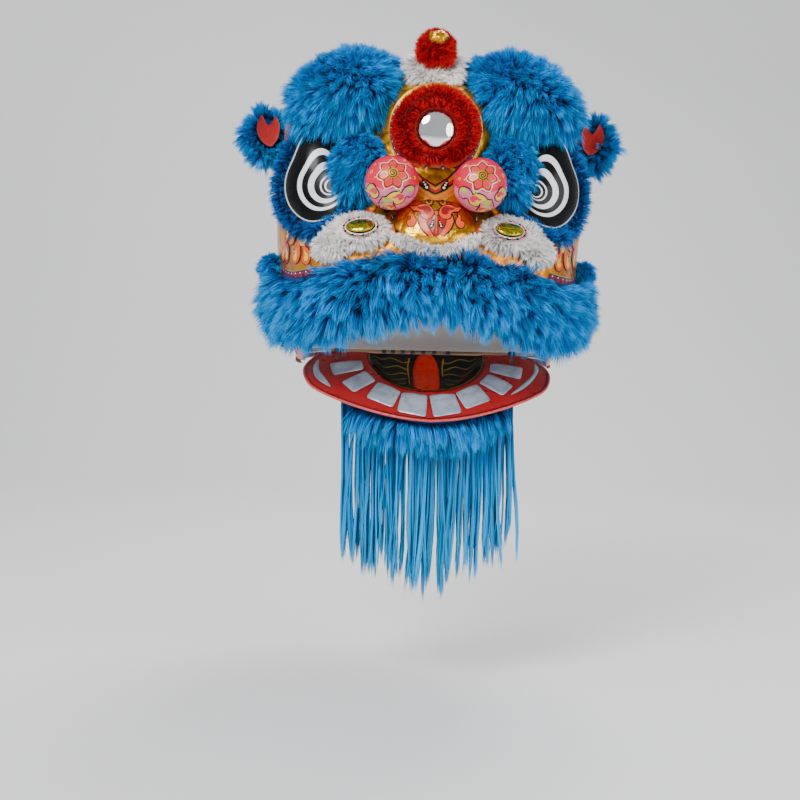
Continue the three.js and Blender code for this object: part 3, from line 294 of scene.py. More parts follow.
# %% The blended lobes
LOBES = np.array([
    # x, y, z, half width, half depth, half height, power
    (0, 90, 150, 276, 255, 325, 2.5),
    (0, -20, 158, 262, 215, 106, 3),
    (0, -100, 246, 74, 106, 82, 2.4),
    (0, -40, 394, 104, 108, 114, 3),
    (165, 0, 425, 112, 84, 88, 2),
    (-165, 0, 425, 112, 84, 88, 2),
    (184, 4, 304, 104, 98, 112, 3),
    (-184, 4, 304, 104, 98, 112, 3),
], dtype=float)
BLEND_SHARPNESS = 9
SKULL_MIDDLE = np.array([0.0, 40.0, 200.0])
SHELL_WALL = 2.5
FAR = 650.0
MARCH_STEP = 9.0
HIT_HALVINGS, EDGE_HALVINGS = 18, 22


def skull_field(points):
    total = np.zeros(len(points))
    for x, y, z, rx, ry, rz, power in LOBES:
        level = (np.abs((points[:, 0] - x) / rx) ** power + np.abs((points[:, 1] - y) / ry) ** power
                 + np.abs((points[:, 2] - z) / rz) ** power)
        total += np.maximum(level, 1e-6) ** (-BLEND_SHARPNESS / power)
    return total


def skull_hit(targets, outward):
    targets = np.atleast_2d(targets).astype(float)
    outward = np.broadcast_to(unit(np.atleast_2d(outward).astype(float)), targets.shape)
    reach = np.full(len(targets), FAR)
    going = np.arange(len(targets))
    while len(going):
        points = targets[going] + outward[going] * reach[going, None]
        going = going[(skull_field(points) < 1) & (reach[going] > -FAR)]
        reach[going] -= MARCH_STEP
    inside, outside = reach.copy(), reach + MARCH_STEP
    for _ in range(HIT_HALVINGS):
        middle = (inside + outside) / 2
        hollow = skull_field(targets + outward * middle[:, None]) < 1
        outside = np.where(hollow, middle, outside)
        inside = np.where(hollow, inside, middle)
    return targets + outward * inside[:, None]


def skull_normal(points):
    step = 1.5
    slopes = [skull_field(points + np.eye(3)[k] * step) - skull_field(points - np.eye(3)[k] * step)
              for k in range(3)]
    return unit(-np.stack(slopes, axis=-1))


def front_way(turn):
    """The level direction outwards at an angle from the front."""
    return np.stack([np.sin(turn), -np.cos(turn), np.zeros_like(turn)], axis=-1)


class Seat:
    """A place on the skull with directions right, up and out."""

    def __init__(self, x, y, z, outward):
        self.out = unit(np.array(outward, dtype=float))
        self.middle = skull_hit(np.array([x, y, z]), self.out)[0]
        self.right = unit(np.cross([0, 0, 1], self.out))
        self.up = np.cross(self.out, self.right)

    def flat(self, u, v, height=0.0):
        return (self.middle + np.outer(u, self.right) + np.outer(v, self.up)
                + np.outer(np.broadcast_to(height, np.shape(u)), self.out))


DEEPEST_DRAPE = 80


def on_seat(seat, u, v, height=0.0):
    spot = skull_hit(seat.flat(u, v), seat.out)
    behind = (seat.middle - spot) @ seat.out
    extra = np.maximum(0, behind - DEEPEST_DRAPE) + height
    return spot + np.outer(extra, seat.out)


print("front of the forehead", skull_hit(np.array([0, 0, 410.0]), (0, -1, 0)).round(1))

# %% [markdown]
# ## Shared effects
# Some effects turn up in many finishes, so each is a node group made once. They are the colour of a
# blade of fur, with a random tone, painted shade at its root and painted light at its tip; the strokes
# of a brush in paint; the creases of foil, with painted shade in their hollows; and the threads of
# cloth, with painted shade between them. A group gives back only colours and heights. The shader
# itself stays in each finish.

# %% Node groups


def srgb(red, green, blue):
    """A colour as a painter would read it from a screen, turned into the light that Blender wants."""
    values = np.array([red, green, blue]) / 255
    linear = np.where(values <= 0.04045, values / 12.92, ((values + 0.055) / 1.055) ** 2.4)
    return (*map(float, linear), 1.0)


SOCKETS = {"color": "NodeSocketColor", "float": "NodeSocketFloat"}


def new_group(name, inputs, outputs):
    group = bpy.data.node_groups.new(name, "ShaderNodeTree")
    for label, kind, value in inputs:
        socket = group.interface.new_socket(label, in_out="INPUT", socket_type=SOCKETS[kind])
        socket.default_value = value
    for label, kind in outputs:
        group.interface.new_socket(label, in_out="OUTPUT", socket_type=SOCKETS[kind])
    return group, group.nodes.new("NodeGroupInput"), group.nodes.new("NodeGroupOutput")


def add_node(tree, kind, links=None, **settings):
    """A node with its settings, its values by input name or number, and links from other sockets."""
    node = tree.nodes.new(kind)
    for label, value in settings.items():
        setattr(node, label, value)
    for label, value in (links or {}).items():
        if isinstance(value, bpy.types.NodeSocket):
            tree.links.new(value, node.inputs[label])
        else:
            node.inputs[label].default_value = value
    return node


def noise(tree, scale, detail=3.0, vector=None, stretch=None):
    place = vector or add_node(tree, "ShaderNodeTexCoord").outputs["Object"]
    if stretch:
        place = add_node(tree, "ShaderNodeMapping", {"Vector": place, "Scale": stretch}).outputs[0]
    links = {"Vector": place, "Scale": scale, "Detail": detail}
    return add_node(tree, "ShaderNodeTexNoise", links).outputs["Fac"]


def mix(tree, share, one, other):
    node = add_node(tree, "ShaderNodeMix", data_type="RGBA")
    for index, value in ((0, share), (6, one), (7, other)):
        if isinstance(value, bpy.types.NodeSocket):
            tree.links.new(value, node.inputs[index])
        else:
            node.inputs[index].default_value = value
    return node.outputs[2]


def math_node(tree, operation, one, other=0.0):
    return add_node(tree, "ShaderNodeMath", {0: one, 1: other}, operation=operation).outputs[0]


def tone_shift(tree, color, value):
    """A colour made lighter or darker."""
    return add_node(tree, "ShaderNodeHueSaturation", {"Value": value, "Color": color}).outputs[0]


def spread(tree, value, low, high, to_low=0.0, to_high=1.0):
    links = {"Value": value, "From Min": low, "From Max": high, "To Min": to_low, "To Max": to_high}
    return add_node(tree, "ShaderNodeMapRange", links).outputs[0]


def make_fur_tint_and_shade():
    white = (1, 1, 1, 1)
    group, entry, leave = new_group("fur_tint_and_shade", [
        ("Root", "color", white), ("Middle", "color", white), ("Tip", "color", white),
        ("Tint", "float", 0.5), ("Along", "float", 0.5), ("Variety", "float", 0.35),
    ], [("Color", "color")])
    # Painted light along each blade: dark at the root as painted shade, the fur's own colour in the middle, and
    # lighter at the tip as painted light.
    lower = spread(group, entry.outputs["Along"], 0.05, 0.5)
    upper = spread(group, entry.outputs["Along"], 0.5, 1.0)
    strand = mix(group, lower, entry.outputs["Root"], entry.outputs["Middle"])
    strand = mix(group, upper, strand, entry.outputs["Tip"])
    patches = spread(group, noise(group, 14.0), 0.3, 0.7, 0.82, 1.12)
    own = math_node(group, "SUBTRACT", entry.outputs["Tint"], 0.5)
    own = math_node(group, "MULTIPLY", own, entry.outputs["Variety"])
    value = math_node(group, "ADD", patches, math_node(group, "MULTIPLY", own, 2.0))
    group.links.new(tone_shift(group, strand, value), leave.inputs["Color"])
    return group


def make_brushwork():
    group, entry, leave = new_group("brushwork", [
        ("Color", "color", (1, 1, 1, 1)), ("Depth", "float", 0.2), ("Stroke", "float", 60.0),
    ], [("Color", "color"), ("Roughness", "float"), ("Height", "float")])
    streaks = add_node(group, "ShaderNodeTexNoise", {"Scale": entry.outputs["Stroke"], "Detail": 4.0})
    place = add_node(group, "ShaderNodeTexCoord").outputs["Object"]
    slant = add_node(group, "ShaderNodeMapping", {"Vector": place, "Scale": (1.0, 0.6, 4.0)})
    group.links.new(slant.outputs[0], streaks.inputs["Vector"])
    worn = spread(group, streaks.outputs["Fac"], 0.3, 0.7, -0.5, 0.5)
    value = math_node(group, "MULTIPLY_ADD", worn, entry.outputs["Depth"])
    value.node.inputs[2].default_value = 1.0
    shade = tone_shift(group, entry.outputs["Color"], value)
    rough = spread(group, streaks.outputs["Fac"], 0.25, 0.75, 0.22, 0.42)
    group.links.new(shade, leave.inputs["Color"])
    group.links.new(rough, leave.inputs["Roughness"])
    group.links.new(streaks.outputs["Fac"], leave.inputs["Height"])
    return group


def make_creases():
    group, entry, leave = new_group("creases", [
        ("Color", "color", (1, 1, 1, 1)), ("Valley", "color", (0, 0, 0, 1)), ("Size", "float", 40.0),
    ], [("Color", "color"), ("Height", "float")])
    place = add_node(group, "ShaderNodeTexCoord").outputs["Object"]
    height = None
    for share, factor in ((1.0, 1.0), (0.4, 2.7)):
        size = math_node(group, "MULTIPLY", entry.outputs["Size"], factor)
        fold = add_node(group, "ShaderNodeTexNoise", {"Vector": place, "Scale": size, "Detail": 1.5})
        ridge = math_node(group, "ABSOLUTE", math_node(group, "SUBTRACT", fold.outputs["Fac"], 0.5))
        ridge = math_node(group, "MULTIPLY", ridge, 5 * share)
        height = math_node(group, "ADD", height, ridge) if height else ridge
    group.links.new(height, leave.inputs["Height"])
    # Painted shade: the deeper a point lies in a crease, the nearer its colour comes to the dark colour of the
    # hollows.
    share = spread(group, height, 0.0, 0.55)
    shade = mix(group, share, entry.outputs["Valley"], entry.outputs["Color"])
    group.links.new(shade, leave.inputs["Color"])
    return group


def make_weave():
    group, entry, leave = new_group("weave", [
        ("Color", "color", (1, 1, 1, 1)), ("Threads", "float", 500.0),
    ], [("Color", "color"), ("Height", "float")])
    place = add_node(group, "ShaderNodeTexCoord").outputs["Object"]
    waves = []
    for direction in ("X", "Y"):
        wave = add_node(group, "ShaderNodeTexWave", {"Vector": place, "Scale": entry.outputs["Threads"],
                                                     "Distortion": 1.2, "Detail": 1.0},
                        bands_direction=direction)
        waves.append(wave.outputs["Fac"])
    height = math_node(group, "MAXIMUM", waves[0], waves[1])
    # Painted shade: the low parts between the threads are drawn darker. The same dark colour also makes random
    # blotches.
    dark = tone_shift(group, entry.outputs["Color"], 0.62)
    blotch = spread(group, noise(group, 9.0), 0.3, 0.7, 0.0, 0.25)
    cloth = mix(group, spread(group, height, 0.2, 0.9), dark, entry.outputs["Color"])
    group.links.new(mix(group, blotch, cloth, dark), leave.inputs["Color"])
    group.links.new(height, leave.inputs["Height"])
    return group


FUR_TINT_AND_SHADE = make_fur_tint_and_shade()
BRUSHWORK = make_brushwork()
CREASES = make_creases()
WEAVE = make_weave()
print("groups", [group.name for group in bpy.data.node_groups])

# %% [markdown]
# ## Finishes
# The head is a show of finishes: bright and dark paint under varnish, crumpled foil, silver paper,
# felt, cloth, glass and three colours of fur. Each finish is a short recipe on one shader.

# %% Finishes


def new_finish(name, **constants):
    finish = bpy.data.materials.new(name)
    finish.use_nodes = True
    shader = finish.node_tree.nodes["Principled BSDF"]
    for label, value in constants.items():
        shader.inputs[label.replace("_", " ")].default_value = value
    return finish, finish.node_tree, shader


def use_group(tree, group, **values):
    node = tree.nodes.new("ShaderNodeGroup")
    node.node_tree = group
    for label, value in values.items():
        if isinstance(value, bpy.types.NodeSocket):
            tree.links.new(value, node.inputs[label])
        else:
            node.inputs[label].default_value = value
    return node


def bump(tree, shader, height, strength, depth_mm):
    links = {"Height": height, "Strength": strength, "Distance": depth_mm * MM}
    node = add_node(tree, "ShaderNodeBump", links)
    tree.links.new(node.outputs["Normal"], shader.inputs["Normal"])


# root is painted shade at the base of each blade, middle is the fur's own colour, and tip is painted light at its
# end.
def fur_finish(name, root, middle, tip, variety=0.35, roughness=0.62):
    finish, tree, shader = new_finish(name, Roughness=roughness, Specular_IOR_Level=0.25)
    blade = add_node(tree, "ShaderNodeUVMap", uv_map="shade").outputs["UV"]
    split = add_node(tree, "ShaderNodeSeparateXYZ", {"Vector": blade})
    colour_with_shade = use_group(tree, FUR_TINT_AND_SHADE, Root=srgb(*root), Middle=srgb(*middle), Tip=srgb(*tip),
                     Tint=split.outputs["X"], Along=split.outputs["Y"], Variety=variety)
    tree.links.new(colour_with_shade.outputs["Color"], shader.inputs["Base Color"])
    return finish


def paint_finish(name, color, metallic=0.0, depth=0.1, stroke=24.0, coat=0.2, gloss=0.4):
    finish, tree, shader = new_finish(name, Metallic=metallic, Coat_Weight=coat, Coat_Roughness=0.12,
                                      Specular_IOR_Level=gloss)
    brush = use_group(tree, BRUSHWORK, Color=srgb(*color), Depth=depth, Stroke=stroke)
    tree.links.new(brush.outputs["Color"], shader.inputs["Base Color"])
    tree.links.new(brush.outputs["Roughness"], shader.inputs["Roughness"])
    bump(tree, shader, brush.outputs["Height"], 0.25, 0.3)
    return finish


# The second colour is painted shade in the hollows of the creases. It also gives a random drift of tone.
def foil_finish(name, color, valley_shade_and_drift, size, depth_mm, roughness=0.24, metallic=1.0):
    finish, tree, shader = new_finish(name, Metallic=metallic, Roughness=roughness)
    foil = use_group(tree, CREASES, Color=srgb(*color), Valley=srgb(*valley_shade_and_drift), Size=size)
    drift = spread(tree, noise(tree, 18.0), 0.35, 0.65)
    colour_with_shade = mix(tree, math_node(tree, "MULTIPLY", drift, 0.35), foil.outputs["Color"], srgb(*valley_shade_and_drift))
    tree.links.new(colour_with_shade, shader.inputs["Base Color"])
    bump(tree, shader, foil.outputs["Height"], 0.7, depth_mm)
    return finish


def cloth_finish(name, color, threads, roughness=0.85):
    finish, tree, shader = new_finish(name, Roughness=roughness, Sheen_Weight=0.25)
    weave = use_group(tree, WEAVE, Color=srgb(*color), Threads=threads)
    tree.links.new(weave.outputs["Color"], shader.inputs["Base Color"])
    bump(tree, shader, weave.outputs["Height"], 0.5, 0.3)
    return finish


def felt_finish(name, color):
    finish, tree, shader = new_finish(name, Roughness=0.95, Sheen_Weight=0.5)
    fibre = noise(tree, 900.0, 6.0, stretch=(1.0, 1.0, 0.3))
    tone = tone_shift(tree, srgb(*color), spread(tree, fibre, 0.3, 0.7, 0.6, 1.25))
    tree.links.new(tone, shader.inputs["Base Color"])
    bump(tree, shader, fibre, 0.8, 0.8)
    return finish


def mirror_finish():
    finish, tree, shader = new_finish("mirror_glass", Metallic=1.0)
    dust = noise(tree, 60.0, 5.0)
    dusty = spread(tree, dust, 0.5, 0.8, 0, 0.25)
    silvering = mix(tree, dusty, (0.86, 0.87, 0.88, 1), (0.55, 0.55, 0.55, 1))
    tree.links.new(silvering, shader.inputs["Base Color"])
    tree.links.new(spread(tree, dust, 0.4, 0.75, 0.03, 0.16), shader.inputs["Roughness"])
    return finish


def wood_finish(name, color):
    finish, tree, shader = new_finish(name, Roughness=0.55)
    grain = noise(tree, 120.0, 6.0, stretch=(0.08, 1.0, 1.0))
    dark = srgb(*(channel * 0.55 for channel in color))
    wood = mix(tree, spread(tree, grain, 0.35, 0.7), dark, srgb(*color))
    tree.links.new(wood, shader.inputs["Base Color"])
    bump(tree, shader, grain, 0.3, 0.3)
    return finish


def shell_paint_finish():
    """Gold foil paper that warms to orange low on the face, creased where it was pasted down, with painted shade in
    the creases.
    """
    finish, tree, shader = new_finish("shell_paint", Metallic=0.85, Roughness=0.34, Coat_Weight=0.15)
    place = add_node(tree, "ShaderNodeTexCoord").outputs["Object"]
    height = add_node(tree, "ShaderNodeSeparateXYZ", {"Vector": place}).outputs["Z"]
    clouds = noise(tree, 7.0, 5.0, place)
    drift = math_node(tree, "MULTIPLY", clouds, 0.5)
    rise = math_node(tree, "ADD", spread(tree, height, 0.0, 0.45), drift)
    ground = mix(tree, spread(tree, rise, 0.35, 0.9), srgb(220, 118, 14), srgb(232, 166, 28))
    foil = use_group(tree, CREASES, Color=ground, Valley=srgb(150, 88, 8), Size=22.0)
    tree.links.new(foil.outputs["Color"], shader.inputs["Base Color"])
    bump(tree, shader, foil.outputs["Height"], 0.6, 2.0)
    return finish


# Each fur goes from a root colour painted dark as shade, through its own colour, to a tip colour painted lighter as
# lit.
BLUE_FUR = fur_finish("blue_fur", (0, 60, 120), (0, 128, 206), (16, 176, 240))
BLUE_TRIM = fur_finish("blue_trim_fur", (0, 50, 104), (0, 98, 176), (10, 138, 214))
BLUE_HAIR = fur_finish("blue_hair", (0, 84, 144), (0, 140, 204), (14, 168, 226), 0.35, 0.4)
RED_FUR = fur_finish("red_fur", (110, 0, 6), (190, 2, 12), (224, 14, 20))
WHITE_FUR = fur_finish("white_fur", (232, 226, 219), (252, 249, 246), (255, 255, 254), 0.22)
SHELL_PAINT = shell_paint_finish()
SHELL_PAPER = cloth_finish("shell_paper", (196, 172, 132), 260.0, 0.9)
GOLD_FOIL = foil_finish("gold_foil", (236, 178, 44), (176, 112, 16), 26.0, 2.2, 0.3)
GREEN_FOIL = foil_finish("green_gold_foil", (206, 184, 50), (120, 124, 30), 60.0, 1.2)
SILVER_PAPER = foil_finish("silver_paper", (196, 208, 224), (160, 172, 190), 16.0, 2.0, 0.34, 0.4)
RED_FELT = felt_finish("red_felt", (168, 12, 14))
MIRROR_GLASS = mirror_finish()
POLE_WOOD = wood_finish("pole_wood", (176, 138, 92))
LASHING = cloth_finish("lashing_cord", (34, 42, 34), 900.0)
PALATE_CLOTH = cloth_finish("palate_cloth", (206, 204, 200), 420.0)
HOOP_TAPE = cloth_finish("hoop_tape", (150, 18, 20), 380.0)
EYE_BLACK = paint_finish("eye_black", (2, 2, 3), 0.0, 0.1, 40.0, 0.18, 0.15)
EYE_WHITE = paint_finish("eye_white", (232, 234, 236), 0.0, 0.06, 40.0, 0.3)
PAINTS = {
    "black": paint_finish("paint_black", (5, 4, 6)),
    "white": paint_finish("paint_white", (240, 236, 228)),
    "red": paint_finish("paint_red", (168, 0, 8)),
    "deep_red": paint_finish("paint_deep_red", (136, 8, 14)),
    "orange": paint_finish("paint_orange", (234, 78, 12)),
    "yellow": paint_finish("paint_yellow", (240, 196, 40)),
    "gold": paint_finish("paint_gold", (214, 160, 40), 0.6),
    "olive": paint_finish("paint_olive_gold", (158, 134, 40), 0.4),
    "navy": paint_finish("paint_navy", (20, 26, 78)),
    "pink": paint_finish("paint_pink", (222, 14, 62)),
    "mauve": paint_finish("paint_mauve", (224, 104, 148)),
    "green": paint_finish("paint_green", (168, 190, 66)),
    "tongue": paint_finish("paint_tongue", (224, 36, 6), depth=0.04),
    "worn": paint_finish("worn_edge", (204, 70, 66), 0.0, 0.7, 160.0, 0.1),
}
print(len(bpy.data.materials), "finishes")

# %% [markdown]
# ## Fur made of blades
# Real fur is thousands of fine hairs that stick together in locks. Particle hair looks good in a
# render but is lost when a model is exported, so the fur here is plain mesh: narrow pointed blades
# that stand on a skin painted dark as the shade among the roots. Each blade leans the way its lock
# leans, droops with its weight and is drawn towards the middle of its lock. A UV map called shade
# carries two numbers to the finish: how light this blade is, and how far along it a point lies. The
# finish uses the second number for painted shade at the roots and painted light towards the tips.
# A second map, OFBake, carries the same numbers.

# %% Fur
DOWN = np.array([0.0, 0.0, -1.0])
BLADE_STEPS = 2
ROOT_SINK = 1.0


def fur_blades(root, normal, *, length, width, comb, droop, lock_size, pull, fray, rng):
    count = len(root)
    swirl = 0.3 * np.sin(root[:, [1, 2, 0]] / 17 + root[:, [2, 0, 1]] / 26)
    own = unit(normal + comb(root, normal) + swirl + fray * rng.normal(size=(count, 3)))
    locks = rng.choice(count, max(1, count // lock_size), replace=False)
    tree = kdtree.KDTree(len(locks))
    for i, k in enumerate(locks):
        tree.insert(root[k], i)
    tree.balance()
    near = np.array([tree.find(point)[1] for point in root])
    lean = unit(own[locks] + 0.55 * fray * rng.normal(size=(len(locks), 3)))
    reach = length * (0.78 + 0.4 * rng.random(len(locks)))
    along = unit(0.55 * own + 0.6 * lean[near])
    size = reach[near] * (0.72 + 0.36 * rng.random(count))
    t = np.linspace(0, 1, BLADE_STEPS + 1)[None, :, None]
    sag = DOWN * droop

    def centre(start, way, long):
        long = long[:, None, None]
        return start[:, None] + way[:, None] * long * t + sag * long * t ** 2

    line = centre(root, along, size)
    middle = centre(root[locks], lean, reach)[near]
    line = line + (middle - line) * pull * t ** 1.4
    side = unit(np.cross(along, rng.normal(size=(count, 3))))
    half = 0.5 * width * (1 - t[:, :-1] ** 1.7)
    tone = 0.5 + 0.2 * rng.normal(size=len(locks))[near] + 0.14 * rng.normal(size=count)
    quads, tips = strip_faces(count, BLADE_STEPS)
    shade = strip_shade(np.clip(tone, 0.02, 0.98), t[0, :, 0])
    return strip_points(line, side[:, None], half), quads, tips, shade


def roots_on(skin, count, rng, bare=None):
    points, faces = skin
    corners = triangles_of(faces)
    a, b, c = (points[corners[:, k]] for k in range(3))
    across = np.cross(b - a, c - a)
    area = np.linalg.norm(across, axis=1)
    pick = rng.choice(len(area), size=count, p=area / area.sum())
    one, two = np.sqrt(rng.random(count))[:, None], rng.random(count)[:, None]
    root = a[pick] * (1 - one) + b[pick] * one * (1 - two) + c[pick] * one * two
    normal = unit(across[pick])
    if bare is None:
        return root, normal
    keep = ~bare(root, normal)
    return root[keep], normal[keep]


def straight_out(root, normal):
    return np.zeros_like(root)


def fur_piece(name, body, nodes, skin, finish, *, blades, length, width=1.7, comb=straight_out,
              droop=0.25, lock_size=14, pull=0.4, fray=0.3, seed, bare=None):
    rng = np.random.default_rng(seed)
    root, normal = roots_on(skin, blades, rng, bare)
    points, quads, tips, shade = fur_blades(
        root - normal * ROOT_SINK, normal, length=length, width=width, comb=comb, droop=droop,
        lock_size=lock_size, pull=pull, fray=fray, rng=rng)
    base, base_faces = skin
    first = len(base)
    # The skin under the blades takes the root colour: painted shade among the roots.
    under = np.column_stack([np.full(first, 0.5), np.zeros(first)])
    uv = np.concatenate([under, shade])
    faces = [*base_faces, quads + first, tips + first]
    mesh = new_mesh(name, np.concatenate([base, points]), faces, {"shade": uv, "OFBake": uv})
    mesh.uv_layers["shade"].active_render = True
    piece(name, body, mesh, [finish], nodes)
    print(name, len(root), "blades,", len(triangles_of(faces)), "triangles")

# %% [markdown]
# ## The paper shell
# The shell is paper and gauze pasted over cane and then painted. It is open below, and in front
# for the mouth. Its wall is one grid of points: each column starts at the lower edge, found by
# halving, and climbs to the crown. A second grid lies just inside it.

# %% Shell
RIM_Z = -25
FACE_RIM_Z = 32
RIM_STEP_Y = -25
MOUTH_HALF_WIDTH = 226
MOUTH_TOP_Z = 112
SHELL_COLUMNS, SHELL_ROWS = 160, 46


def mouth_top(x):
    across = np.minimum(1, np.abs(x) / MOUTH_HALF_WIDTH) ** 1.25
    return MOUTH_TOP_Z * np.sqrt(1 - across * across) ** 0.7


def lower_edge(points):
    """The height at which the shell ends: level behind, higher in front, and arched over the mouth."""
    front = np.maximum(FACE_RIM_Z, mouth_top(points[:, 0]))
    return np.where(points[:, 1] > RIM_STEP_Y, RIM_Z, front)


def shell_point(around, rise):
    turn = around + 0.3 * np.sin(around)
    outward = np.stack([np.sin(turn) * np.cos(rise), np.cos(turn) * np.cos(rise), np.sin(rise)], axis=-1)
    return skull_hit(np.broadcast_to(SKULL_MIDDLE, outward.shape), outward)


def add_shell():
    around = np.arange(SHELL_COLUMNS) * 2 * np.pi / SHELL_COLUMNS + 1e-4
    low, high = np.full(SHELL_COLUMNS, -1.35), np.full(SHELL_COLUMNS, 1.2)
    for _ in range(EDGE_HALVINGS):
        middle = (low + high) / 2
        spot = shell_point(around, middle)
        above = spot[:, 2] > lower_edge(spot)
        high, low = np.where(above, middle, high), np.where(above, low, middle)
    share = (np.arange(SHELL_ROWS) / SHELL_ROWS)[:, None]
    rise = high[None, :] * (1 - share) + np.pi / 2 * share
    outer = shell_point(np.tile(around, SHELL_ROWS), rise.ravel())
    inner = outer - skull_normal(outer) * SHELL_WALL
    top = shell_point(np.zeros(1), np.full(1, np.pi / 2))
    count, column = SHELL_ROWS * SHELL_COLUMNS, np.arange(SHELL_COLUMNS)
    beside, last = (column + 1) % SHELL_COLUMNS, count - SHELL_COLUMNS
    walls = grid_faces(SHELL_ROWS, SHELL_COLUMNS)[:, ::-1]
    crown = np.stack([last + beside, last + column, np.full(SHELL_COLUMNS, 2 * count)], axis=-1)
    inner_crown = np.stack([last + column + count, last + beside + count,
                            np.full(SHELL_COLUMNS, 2 * count + 1)], axis=-1)
    rim = np.stack([column, beside, beside + count, column + count], axis=-1)
    points = np.concatenate([outer, inner, top, top - (0, 0, SHELL_WALL)])
    faces = [walls, walls[:, ::-1] + count, crown[:, ::-1], inner_crown[:, ::-1], rim[:, ::-1]]
    mesh = new_mesh("shell", points, faces)
    piece("shell", "head", mesh, [SHELL_PAINT, SHELL_PAPER], ["skull_shell"])
    lining = np.concatenate([np.full(len(group), number in (1, 3)) for number, group in enumerate(faces)])
    mesh.polygons.foreach_set("material_index", lining.astype(np.int32))
    mesh.set_sharp_from_angle(angle=math.radians(40))
    print("shell faces", len(mesh.polygons))


add_shell()

# %% [markdown]
# ## The hoop and the bar
# A cane hoop wound with tape stiffens the lower rim. A plain pole crosses the mouth, and the head is
# held up by it. Cord lashes the roof of the mouth to it.

# %% Hoop, bar and lashings
HOOP_SWEEP = math.radians(101)
HOOP_MIDDLE_Z = -30.5
BAR_RADIUS, BAR_HALF_LENGTH = 9.0, 249
LASHING_HALF, LASHING_TURNS = 5.5, 5
LASHING_X = (-80, -63, -44, -25, -4, 17, 44)


def hoop():
    def path(t):
        turn = (2 * t - 1) * HOOP_SWEEP
        outward = np.stack([np.sin(turn), np.cos(turn), np.zeros_like(turn)], axis=-1)
        start = np.broadcast_to([0.0, SKULL_MIDDLE[1], RIM_Z], outward.shape)
        spot = skull_hit(start, outward) - outward * 2
        spot[:, 2] = HOOP_MIDDLE_Z
        return spot, same_way(spot, 0, 0, 1), outward

    def section(t, angle):
        wound = 1 + 0.05 * np.cos(t * 2 * np.pi * 90)
        square = (np.abs(np.cos(angle)) ** 4 + np.abs(np.sin(angle)) ** 4) ** -0.25
        return 4.7 * np.sin(angle) * square * wound, 6.6 * np.cos(angle) * square * wound

    return sausage(12, 400, path, section)


def bar_form(radius, start, end, turns=0.0):
    """A round bar along X. With turns it is a helix of cord wound on the bar."""
    def path(t):
        x = start + (end - start) * t
        zero = np.zeros_like(x)
        spot = np.stack([x, zero, zero], axis=-1)
        return spot, same_way(spot, 0, 0, 1), same_way(spot, 0, -1, 0)

    def section(t, angle):
        groove = 1 - 0.09 * np.abs(np.sin(np.pi * turns * t + angle / 2)) if turns else 1.0
        return radius * np.sin(angle) * groove, radius * np.cos(angle) * groove

    return sausage(28, 24 if not turns else 40, path, section)


piece("hoop", "head", new_mesh("hoop", *hoop()), [HOOP_TAPE], ["base_ring"])
bar = new_mesh("bar", *bar_form(BAR_RADIUS - 0.3, -BAR_HALF_LENGTH, BAR_HALF_LENGTH))
piece("bar", "head", bar, [POLE_WOOD], ["carry_bar"])
for number, x in enumerate(LASHING_X):
    winding = bar_form(BAR_RADIUS + 1.6, x - LASHING_HALF, x + LASHING_HALF, turns=LASHING_TURNS)
    piece(f"lashing_{number + 1}", "head", new_mesh("lashing", *winding), [LASHING])
print("bar with", len(LASHING_X), "lashings")

# %% [markdown]
# ## The roof of the mouth
# A grey sheet runs from the bar up to the front wall above the mouth. It hides the inside of the
# shell, so it is built as one curved sheet and sags a little between its edges.

# %% Palate
PALATE_THICKNESS = 2.0
PALATE_HALF_WIDTH = 238.0
PALATE_COLUMNS, PALATE_ROWS = 96, 30


def palate():
    columns, rows = PALATE_COLUMNS, PALATE_ROWS
    x, t = (grid.ravel() for grid in np.meshgrid(np.linspace(-1, 1, columns) * PALATE_HALF_WIDTH,
                                                 np.linspace(0, 1, rows)))
    start = np.stack([np.abs(x), np.zeros_like(x), np.full_like(x, float(MOUTH_TOP_Z))], axis=-1)
    start[:, 0] = np.minimum(start[:, 0], 235)
    wall = skull_hit(start, (0, -1, 0))[:, 1] + 5
    rear = -BAR_RADIUS - 1.2
    rise = np.maximum(FACE_RIM_Z + 6, mouth_top(x) + 7)
    between = np.sin(t * np.pi)
    sag = 7 * between * (1 - (x / PALATE_HALF_WIDTH) ** 2) - 1.2 * np.cos(x / 9.0) * between
    spot = np.stack([x, rear + t * (wall - rear), t * rise + sag], axis=-1)
    shift = np.array([0, 0, PALATE_THICKNESS / 2])
    points = np.concatenate([spot + shift, spot - shift])
    row = np.arange(rows - 1)[:, None] * columns
    column = np.arange(columns - 1)[None, :]
    top = np.stack([row + column, row + column + 1, row + column + columns + 1,
                    row + column + columns], axis=-1).reshape(-1, 4)
    return points, [top, top[:, ::-1] + columns * rows]


piece("mouth_roof", "head", new_mesh("mouth_roof", *palate()), [PALATE_CLOTH], ["palate"])
print("mouth roof done")

# %% [markdown]
# ## Painting with sheets of colour
# The ornament is a set of flat shapes: leaves, flames, dots, and wavy bands with an outline. Each is
# drawn in a plane in millimetres with a few points, filled with triangles, and then laid on its
# surface a few tenths of a millimetre higher than the shape below it, like thick paint.

# %% Ornament helpers
LAYER_STEP = 0.35
FILL_SPACING = 7.0


def smooth_closed(points, steps=8):
    """A closed curve through a few points."""
    points = np.asarray(points, dtype=float)
    before, after, beyond = np.roll(points, 1, 0), np.roll(points, -1, 0), np.roll(points, -2, 0)
    t = (np.arange(steps) / steps)[None, :, None]
    p0, p1, p2, p3 = (group[:, None] for group in (before, points, after, beyond))
    curve = 0.5 * (2 * p1 + (p2 - p0) * t + (2 * p0 - 5 * p1 + 4 * p2 - p3) * t ** 2
                   + (3 * p1 - p0 - 3 * p2 + p3) * t ** 3)
    return curve.reshape(-1, 2)


